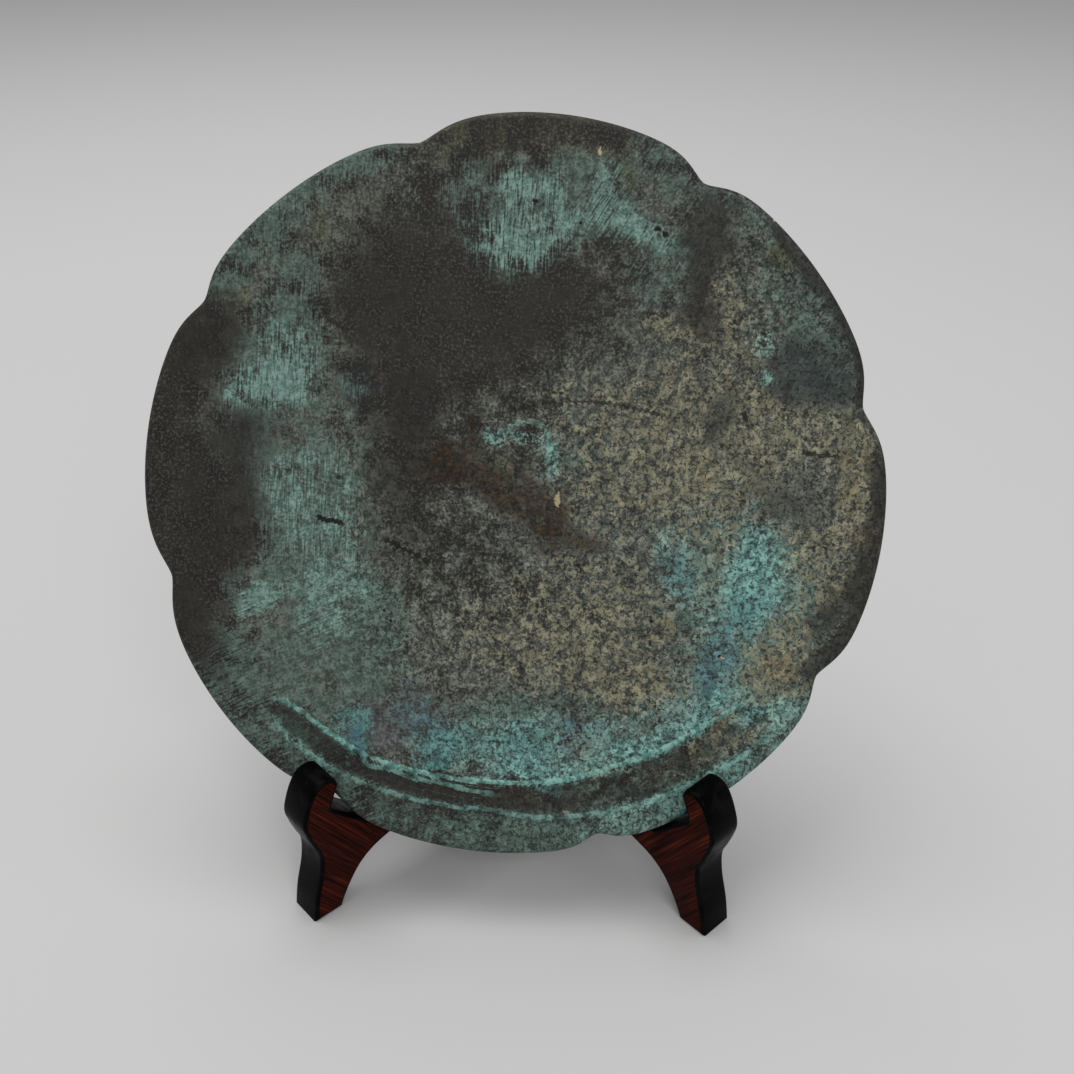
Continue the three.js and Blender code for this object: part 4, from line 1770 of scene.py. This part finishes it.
    def _write_attributes(
        self, mesh: bpy.types.Mesh, place: np.ndarray, depth: np.ndarray, faced: bool
    ) -> None:
        """Writes what the finish reads: places, patina amounts, lines, chips and brush marks.

        Args:
            mesh: The mesh.
            place: Each vertex's place on the mirror.
            depth: Each vertex's depth behind the face.
            faced: Whether the mesh has the polished face, which the knob hasn't.
        """
        top = self.face_bevel_depth
        on_face = ease(top + 1.2, top, depth) if faced else np.zeros(len(place))
        # depth shifts the place along both axes, so that the patterns run on round the rim's side
        shifted = place + np.outer(depth, (1.1, 0.9))
        put_attribute(mesh, "face_place", np.column_stack([shifted, np.zeros(len(place))]))
        front, back = self._front_amounts(place), self._back_amounts(place)
        for layer in Layer:
            put_attribute(mesh, layer.value, front[layer] * on_face + back[layer] * (1 - on_face))
        for name, lines in (("crust", CRUST_LINES), ("crack", CRACK_LINES)):
            offset, amount, width = self.patina.lines(place, lines)
            put_attribute(mesh, f"{name}_offset", offset)
            put_attribute(mesh, f"{name}_amount", amount * on_face)
            put_attribute(mesh, f"{name}_width", width)
        spot, pale = self.patina.chips(place)
        put_attribute(mesh, "chip_place", spot + (1 - on_face)[:, None] * 9)
        put_attribute(mesh, "chip_pale", pale)
        right = ease(-30, 45, place[:, 0] - 0.5 * place[:, 1])
        middle = ease(85, 45, np.hypot(place[:, 0] - 12, place[:, 1] + 25))
        put_attribute(mesh, "pitted", 0.3 + 0.5 * np.maximum(right, middle))
        for name, strength in self._brush_marks(place).items():
            put_attribute(mesh, name, on_face * strength)

    def _brush_marks(self, place: np.ndarray) -> dict[str, np.ndarray]:
        """Says how strongly the brush marks of each direction show, by the attribute's name.

        They run upright at the left and the top, slanted at the lower left, and steep at the
        upper right.
        """
        u, v = place.T
        left, low = ease(-20, -55, u), ease(-12, -45, v)
        return {
            "brushed_upright": np.maximum(left * (1 - low), ease(50, 70, v) * ease(25, 10, u)),
            "brushed_slanted": left * low,
            "brushed_steep": ease(10, 25, u) * ease(15, 40, v),
        }

    def _front_amounts(self, place: np.ndarray) -> dict[Layer, np.ndarray]:
        """Works out the patina of the face, darker and earthier inside the crescent."""
        front = self.patina.amounts(place, self._edge_distance(place))
        inside = ease(0, 3, self.patina.inside_crescent(place))
        soot, earth = 0.85 * ease(88, 40, place[:, 0]), 0.5 * ease(-20, 40, place[:, 0])
        front[Layer.HAZE] *= 1 - 0.7 * inside
        front[Layer.VERDIGRIS] *= 1 - 0.6 * inside
        front[Layer.SOOT] = np.maximum(front[Layer.SOOT], soot * inside)
        front[Layer.EARTH] = np.maximum(front[Layer.EARTH], earth * inside)
        return front

    def _back_amounts(self, place: np.ndarray) -> dict[Layer, np.ndarray]:
        """Works out the plainer patina of the back and the edge, from soft noise."""
        bare = {layer: np.zeros(len(place)) for layer in Layer}
        spread = {
            Layer.WASH: (38, 31, 0.62),
            Layer.EARTH: (30, 32, 0.5),
            Layer.VERDIGRIS: (26, 33, 0.42),
            Layer.SOOT: (34, 34, 0.5),
            Layer.AZURE: (22, 35, 0.3),
        }
        for layer, (size, seed, most) in spread.items():
            bare[layer] = most * ease(-0.25, 0.5, cloud(place, size, seed))
        return bare


# the stand


class Side(Enum):
    """The stand's two boards, each by the sign of the side that its hook is on."""

    LEFT = -1
    RIGHT = 1


@dataclass
class StandBoard:
    """One of the two alike boards of the stand, with its half of the half-lap joint.

    Attributes:
        side: Which board it is.
        thickness: Of the board.
        arris: The radius of its rounded edges.
        turn: Each board's turn away from the X axis.
        lean: How far the mirror leans back.
        front_feet_gap: Between the inner corners of the two front feet.
        front_foot: The length of the front foot.
        rear_foot: The length of the rear foot.
        rear_foot_setback: From the crossing to the near end of the rear foot.
        waist_height: Of the waist over the front foot.
        waist_depth: How far the front is drawn in there.
        knee_height: Where the front comes out again.
        knee_depth: How far it is still drawn in there.
        hook_height: Of the hook's crown.
        hook_crown_setback: From the crown back to the hook's rear top.
        hook_rear_drop: How much lower that is than the crown.
        hook_rear_freedom: Between that and the mirror's face.
        seat_run: From the board's front to where the mirror's face touches its notch.
        seat_height: Of that touch.
        notch_rise: From there up to the top of the notch's slope.
        notch_slope: How steeply the notch slopes down to its floor.
        notch_corner: How far the hook's rear ends above that slope.
        notch_floor_height: Of the lowest point, behind the notch.
        notch_floor_length: From there back to where the beam is full height.
        arch_height: Of the arch between the feet.
        arch_run: From a foot to where the arch is full height.
        beam_height: Of the beam between notch and crossing.
        beam_camber: How much higher its middle is.
        crossing_height: Of the board where the two cross.
        upright_setback: From the crossing to the upright's foot.
        upright_foot_height: Where the upright begins.
        upright_flare: How far its front bows there.
        upright_flare_height: From there to where the bow ends.
        upright_width: At its foot.
        upright_tip_width: At its tip.
        touch_height: The upright touches the mirror's back here.
        tip_rise: From there up to the tip.
        tip_round: How far the tip's corners are rounded.
        heel_round: How far the rear is drawn in over the rear foot.
        plate_thickness: Of the mirror where the upright touches it.
        touch_gap: Between the two.
        joint_gap: Round each board in the slot of the other.
        cad_bevel: The bevel of the CAD board's edges, which sets how near the upright comes.
        spans: Straight pieces between two points of a curve.
        arris_steps: Steps round the rounded edges.
        wood: The finish of the two broad sides.
        lacquer: The finish of the sawn edges.
        grain_shift: From one board's place in the wood to the middle, so that their grain differs.
    """

    side: Side
    thickness: float = 12.3
    arris: float = 1.15
    turn: float = 45
    lean: float = 26.4
    front_feet_gap: float = 123.8
    front_foot: float = 10.4
    rear_foot: float = 13
    rear_foot_setback: float = 40
    waist_height: float = 26
    waist_depth: float = 4.8
    knee_height: float = 41.5
    knee_depth: float = 0.7
    hook_height: float = 54.6
    hook_crown_setback: float = 4.7
    hook_rear_drop: float = 3.6
    hook_rear_freedom: float = 3.6
    seat_run: float = 15
    seat_height: float = 38.4
    notch_rise: float = 4.2
    notch_slope: float = 46
    notch_corner: float = 1.2
    notch_floor_height: float = 29.3
    notch_floor_length: float = 14
    arch_height: float = 19.3
    arch_run: float = 22
    beam_height: float = 35
    beam_camber: float = 1
    crossing_height: float = 48
    upright_setback: float = 10
    upright_foot_height: float = 64
    upright_flare: float = 2.2
    upright_flare_height: float = 20
    upright_width: float = 20
    upright_tip_width: float = 14
    touch_height: float = 158
    tip_rise: float = 7
    tip_round: float = 3
    heel_round: float = 3
    plate_thickness: float = 3
    touch_gap: float = 0.3
    joint_gap: float = 0.3
    cad_bevel: float = 1
    spans: int = 8
    arris_steps: int = 5
    wood: OiledRosewood = field(default_factory=OiledRosewood)
    lacquer: BlackLacquer = field(default_factory=BlackLacquer)
    grain_shift: float = 31

    def __post_init__(self) -> None:
        """Works out the lengths that follow from the others."""
        turn = math.radians(self.turn)
        self._half = self.thickness / 2
        self._along = (math.cos(turn), math.sin(turn))
        self._front_x = self.front_feet_gap / 2 + self._half * self._along[1]
        self._front_y = self._half * self._along[0]
        self._crossing = self._front_x / self._along[0]
        self._end = self._crossing + self.rear_foot_setback + self.rear_foot

    def build(self) -> bpy.types.Object:
        """Builds the board in place of its CAD node, and dresses it.

        Returns:
            The board.
        """
        rings = self._arris_rings(self._slotted(self._outline()))
        count = len(rings[0][0])
        local = np.concatenate([np.column_stack([ring, np.full(count, across)]) for ring, across in rings])
        last = (len(rings) - 1) * count
        faces: list[tuple[int, ...]] = []
        for low in range(0, last, count):
            high = low + count
            for step in range(count):
                after = (step + 1) % count
                faces.append((low + step, low + after, high + after, high + step))
        first_cap = len(faces)
        faces += [tuple(reversed(range(count))), tuple(range(last, last + count))]
        name = f"stand_board_{self.side.name.lower()}"
        board = new_piece(name, self._to_frame(local), faces)
        shift = np.array((0, 0, self.grain_shift * self.side.value))
        put_attribute(board.data, "board_place", local + shift)
        for finish in (self.lacquer, self.wood):
            board.data.materials.append(bpy.data.materials.get(finish.name) or finish.build())
        for polygon in board.data.polygons:
            if polygon.index >= first_cap:
                polygon.material_index = 1
                polygon.use_smooth = False
        close_up(board.data)
        board.data.set_sharp_from_angle(angle=math.radians(40))
        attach(board, "root")
        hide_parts(f"stand_{self.side.name.lower()}_board")
        return board

    def _to_frame(self, local: np.ndarray) -> np.ndarray:
        """Turns a board's run, height and across to metres in the part's frame.

        The middle of the two boards' CAD boxes gives the stand's place in the frame.
        """
        boxes = [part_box(name) for name in ("stand_left_board", "stand_right_board")]
        low = np.min([np.array(b[0]) for b in boxes], 0) / MM
        high = np.max([np.array(b[1]) for b in boxes], 0) / MM
        middle = (low + high) / 2
        own_middle = (self._front_y * 2 + self._end * self._along[1]) / 2
        side = self.side.value
        run, height, across = local.T
        x = side * (self._front_x - run * self._along[0] - across * self._along[1])
        y = self._front_y + run * self._along[1] - across * self._along[0]
        return np.column_stack([x + middle[0], y + middle[1] - own_middle, height]) * MM

    def _face_y(self, height: float) -> float:
        """Says where the face's plane is at a height, in the stand's own frame."""
        seat = self._front_y + self.seat_run * self._along[1]
        return seat + (height - self.seat_height) * math.tan(math.radians(self.lean))

    def _run_at(self, y: float, across: float) -> float:
        """Gives the run of the point of the board that has this y."""
        return (y - self._front_y + across * self._along[0]) / self._along[1]

    def _outline(self) -> list[Point]:
        """Draws the board's outline, as on the CAD part but with smoother curves.

        Returns:
            The outline's points in order, as run and height.
        """

        def mix(low: float, high: float, share: float) -> float:
            """Gives the number this share of the way from low to high."""
            return low + (high - low) * share

        slope = math.tan(math.radians(self.notch_slope))
        hook_rear = self.hook_height - self.hook_rear_drop
        hook_top = self._run_at(self._face_y(hook_rear), -self._half) - self.hook_rear_freedom
        crown = hook_top - self.hook_crown_setback
        slope_top = self.seat_height + self.notch_rise
        corner = self.seat_run - self.notch_rise / slope
        floor = self.seat_run + (self.seat_height - self.notch_floor_height) / slope
        lean = math.radians(self.lean)
        back = self._face_y(self.touch_height) + (self.plate_thickness + self.touch_gap) / math.cos(lean)
        touch = self._run_at(back, self._half) - self.cad_bevel * (2 - math.sqrt(2))
        tip = self.touch_height + self.tip_rise
        tip_lean = self.tip_rise * math.tan(lean) / self._along[1]
        upright = self._crossing + self.upright_setback
        rear = upright + self.upright_width
        rear_foot = self._crossing + self.rear_foot_setback
        flare_top = self.upright_foot_height + self.upright_flare_height
        waist, knee, arch = self.waist_height, self.knee_height, self.arch_height
        front = curve_through(
            [
                (0, 0),
                (self.waist_depth * 0.3, waist * 0.32),
                (self.waist_depth * 0.85, waist * 0.7),
                (self.waist_depth, waist),
                (mix(self.knee_depth, self.waist_depth, 0.6), mix(waist, knee, 1 / 3)),
                (mix(self.knee_depth, self.waist_depth, 0.2), mix(waist, knee, 2 / 3)),
                (self.knee_depth, knee),
                (mix(self.knee_depth, crown, 0.24), mix(knee, self.hook_height, 0.5)),
                (mix(self.knee_depth, crown, 0.59), mix(knee, self.hook_height, 0.88)),
                (crown, self.hook_height),
                (crown + self.hook_crown_setback * 0.75, self.hook_height - self.hook_rear_drop * 0.25),
                (hook_top, hook_rear),
            ],
            self.spans,
        )
        low, beam_top, length = self.notch_floor_height, self.beam_height, self.notch_floor_length
        slope_end = mix(low, slope_top, 0.12)
        notch = [
            (corner, slope_top + self.notch_corner),
            (corner, slope_top),
            (self.seat_run + (self.seat_height - slope_end) / slope, slope_end),
        ]
        beam = curve_through(
            [
                notch[-1],
                (floor + length * 0.03, mix(low, slope_top, 0.02)),
                (floor + length * 0.24, low),
                (floor + length * 0.57, mix(low, beam_top, 2 / 3)),
                (floor + length, beam_top),
                (mix(floor, self._crossing, 0.6), beam_top + self.beam_camber),
                (self._crossing - self.thickness, mix(beam_top, self.crossing_height, 0.54)),
                (self._crossing, self.crossing_height),
                (upright - self.upright_flare * 0.55, self.upright_foot_height),
                (upright + self.upright_flare * 0.45, flare_top),
                (
                    mix(upright + self.upright_flare * 0.9, touch, 0.5),
                    mix(flare_top, self.touch_height, 0.5),
                ),
                (touch, self.touch_height),
            ],
            self.spans,
        )
        tip_end = touch + self.upright_tip_width
        rear_side = curve_through(
            [
                (touch, self.touch_height),
                (touch + tip_lean * 0.4 + self.tip_round * 0.3, self.touch_height + self.tip_rise * 0.4),
                (touch + tip_lean * 0.85 + self.tip_round * 0.7, self.touch_height + self.tip_rise * 0.85),
                (touch + tip_lean + self.tip_round * 1.6, tip),
                (touch + self.upright_tip_width * 0.93, tip - self.tip_round * 0.8),
                (tip_end, self.touch_height - self.tip_round),
                (mix(tip_end, rear, 0.5), mix(self.touch_height, self.upright_foot_height, 0.5)),
                (rear, self.upright_foot_height),
                (mix(rear, self._end, 0.5) - self.heel_round * 0.67, self.beam_height),
                (self._end - self.heel_round, arch * 0.7),
                (self._end, 0),
            ],
            self.spans,
        )
        rear_arch = curve_through(
            [
                (rear_foot, 0),
                (rear_foot - self.arch_run * 0.09, arch * 0.32),
                (rear_foot - self.arch_run * 0.41, arch * 0.78),
                (rear_foot - self.arch_run, arch),
            ],
            self.spans,
        )
        front_arch = curve_through(
            [
                (self.front_foot + self.arch_run, arch),
                (self.front_foot + self.arch_run * 0.64, arch * 0.88),
                (self.front_foot + self.arch_run * 0.36, arch * 0.66),
                (self.front_foot + self.arch_run * 0.12, arch * 0.28),
                (self.front_foot, 0),
            ],
            self.spans,
        )
        return front + notch[:-1] + beam[:-1] + rear_side + rear_arch + front_arch

    def _slotted(self, outline: list[Point]) -> list[Point]:
        """Cuts the board's slot into its outline.

        Args:
            outline: The plain outline.

        Returns:
            The outline with the slot, which the left board has from its top and the right one
            from its arch.
        """
        width = self.thickness + 2 * self.joint_gap
        low, high = self._crossing - width / 2, self._crossing + width / 2
        from_top = self.side is Side.LEFT
        middle = (self.arch_height + self.crossing_height) / 2
        floor = middle + (-1 if from_top else 1) * self.joint_gap / 2
        # the outline runs towards the rear along its top, and back to the front along its arch
        edges = (low, high) if from_top else (high, low)
        result: list[Point] = []
        in_slot = False
        for (run, height), (next_run, next_height) in zip(outline, outline[1:] + outline[:1]):
            open_side = (height > middle) == from_top
            if not (in_slot and open_side):
                result.append((run, height))
            if not open_side or (next_height > middle) != from_top or (next_run > run) != from_top:
                continue
            for edge in edges:
                if min(run, next_run) < edge < max(run, next_run):
                    share = (edge - run) / (next_run - run)
                    mouth = (edge, height + (next_height - height) * share)
                    result += [(edge, floor), mouth] if in_slot else [mouth, (edge, floor)]
                    in_slot = not in_slot
        return result

    def _arris_rings(self, outline: list[Point]) -> list[tuple[np.ndarray, float]]:
        """Rounds the edges: the outline drawn in by steps at each of the board's two sides.

        Args:
            outline: The outline.

        Returns:
            Each ring's points and how far across the board it is.
        """
        dots = np.array(outline)
        dots = dots[np.hypot(*(dots - np.roll(dots, 1, 0)).T) > 0.02]
        steps = [math.pi / 2 * s / self.arris_steps for s in range(self.arris_steps + 1)]
        rounded = [
            (self._drawn_in(dots, self.arris * (1 - math.sin(t))), self.arris * (1 - math.cos(t)))
            for t in steps
        ]
        rings = [(ring, -self._half + rise) for ring, rise in rounded]
        return rings + [(ring, self._half - rise) for ring, rise in reversed(rounded)]

    def _drawn_in(self, dots: np.ndarray, depth: float) -> np.ndarray:
        """Draws an outline in, and closes up the points that would cross at its corners.

        Args:
            dots: The outline's points.
            depth: How far it is drawn in.

        Returns:
            As many points, some of them alike.
        """
        if depth < 1e-6:
            return dots
        step = np.roll(dots, -1, 0) - dots
        length = np.linalg.norm(step, axis=1)[:, None]
        ahead = step / length
        inner = np.column_stack([ahead[:, 1], -ahead[:, 0]])
        miter = inner + np.roll(inner, 1, 0)
        miter /= np.linalg.norm(miter, axis=1)[:, None]
        stretch = np.clip(1 / np.maximum(np.sum(miter * inner, axis=1), 0.3), 1, 2)
        ring = dots + miter * stretch[:, None] * depth
        rel = ring[:, None, :] - dots[None, :, :]
        run = np.clip(np.sum(rel * ahead[None], axis=2), 0, length[:, 0][None])
        away = np.linalg.norm(rel - run[:, :, None] * ahead[None], axis=2).min(axis=1)
        clear = np.flatnonzero(away > depth * 0.98)
        count = len(dots)
        gap = np.abs((np.arange(count)[:, None] - clear[None, :] + count // 2) % count - count // 2)
        return ring[clear[np.argmin(gap, axis=1)]]


# the studio


@dataclass(frozen=True)
class Softbox:
    """A square soft light, with its places and its side in metres.

    Attributes:
        name: Its name.
        place: Where it hangs.
        target: What it points at.
        side: Its side.
        power: In watts.
    """

    name: str
    place: tuple[float, float, float]
    target: tuple[float, float, float]
    side: float
    power: float

    def build(self) -> None:
        """Puts the light in the scene."""
        lamp = bpy.data.lights.new(self.name, "AREA")
        lamp.size = self.side
        lamp.energy = self.power
        holder = bpy.data.objects.new(self.name, lamp)
        holder.location = self.place
        away = np.array(self.place) - np.array(self.target)
        flat = math.hypot(away[0], away[1])
        holder.rotation_euler = (math.atan2(flat, away[2]), 0, math.atan2(away[0], -away[1]))
        bpy.context.scene.collection.objects.link(holder)


@dataclass
class Studio:
    """A plain pale floor under soft light from above, seen as in the photograph.

    Attributes:
        floor_half: Half the floor's side, in metres.
        room_colour: The light that the room gives from all sides.
        room_strength: How strong that is.
        camera_at: The camera's place, in millimetres in the part's frame.
        camera_turn: How far it looks to the left of +Y.
        camera_drop: How far it looks down.
        camera_roll: How far it is rolled.
        lens: The focal length on a sensor of 36 mm.
        finish: The floor's.
        lights: The soft lights.
    """

    floor_half: float = 9
    room_colour: str = "#f2f3f4"
    room_strength: float = 0.45
    camera_at: tuple[float, float, float] = (21, -304.3, 300)
    camera_turn: float = 2.44
    camera_drop: float = 31.62
    camera_roll: float = 0.14
    lens: float = 38.75
    finish: PaleFloor = field(default_factory=PaleFloor)
    lights: tuple[Softbox, ...] = (
        Softbox("overhead softbox", (-0.3, 0.45, 1.9), (0, 0.1, 0.08), 1.6, 23),
        Softbox("front softbox", (0.5, -1.5, 1.3), (0, 0, 0.1), 1.0, 9.5),
    )

    def build(self) -> bpy.types.Object:
        """Builds the floor, the lights and the camera.

        Returns:
            The floor.
        """
        side = self.floor_half
        corners = np.array([(-side, -side, 0), (side, -side, 0), (side, side, 0), (-side, side, 0)])
        floor = new_piece("floor", corners, [(0, 1, 2, 3)])
        floor.data.materials.append(self.finish.build())
        for light in self.lights:
            light.build()
        world = bpy.data.worlds.new("grey room")
        world.use_nodes = True
        background = world.node_tree.nodes["Background"]
        background.inputs["Color"].default_value = linear(self.room_colour)
        background.inputs["Strength"].default_value = self.room_strength
        bpy.context.scene.world = world
        bpy.context.scene.view_settings.view_transform = "Standard"
        self._camera()
        return floor

    def _camera(self) -> None:
        """Adds the camera at the photograph's place."""
        lens = bpy.data.cameras.new("camera")
        lens.lens = self.lens
        lens.sensor_width = 36
        lens.clip_start = 0.01
        camera = bpy.data.objects.new("camera", lens)
        turned = (
            Matrix.Rotation(math.radians(self.camera_turn), 3, "Z")
            @ Matrix.Rotation(math.radians(90 - self.camera_drop), 3, "X")
            @ Matrix.Rotation(math.radians(self.camera_roll), 3, "Z")
        )
        camera.location = tuple(c * MM for c in self.camera_at)
        camera.rotation_euler = turned.to_euler()
        bpy.context.scene.collection.objects.link(camera)
        bpy.context.scene.camera = camera


def main() -> None:
    """Builds the mirror, the stand and the studio in order, and reports each piece."""
    builders: tuple[tuple[str, Callable[[], bpy.types.Object]], ...] = (
        ("mirror", CastMirror().build),
        ("left board", StandBoard(Side.LEFT).build),
        ("right board", StandBoard(Side.RIGHT).build),
        ("studio", Studio().build),
    )
    for name, build in builders:
        piece = build()
        log.info("%s: %s, %d faces", name, piece.name, len(piece.data.polygons))


if __name__ == "__main__":
    main()
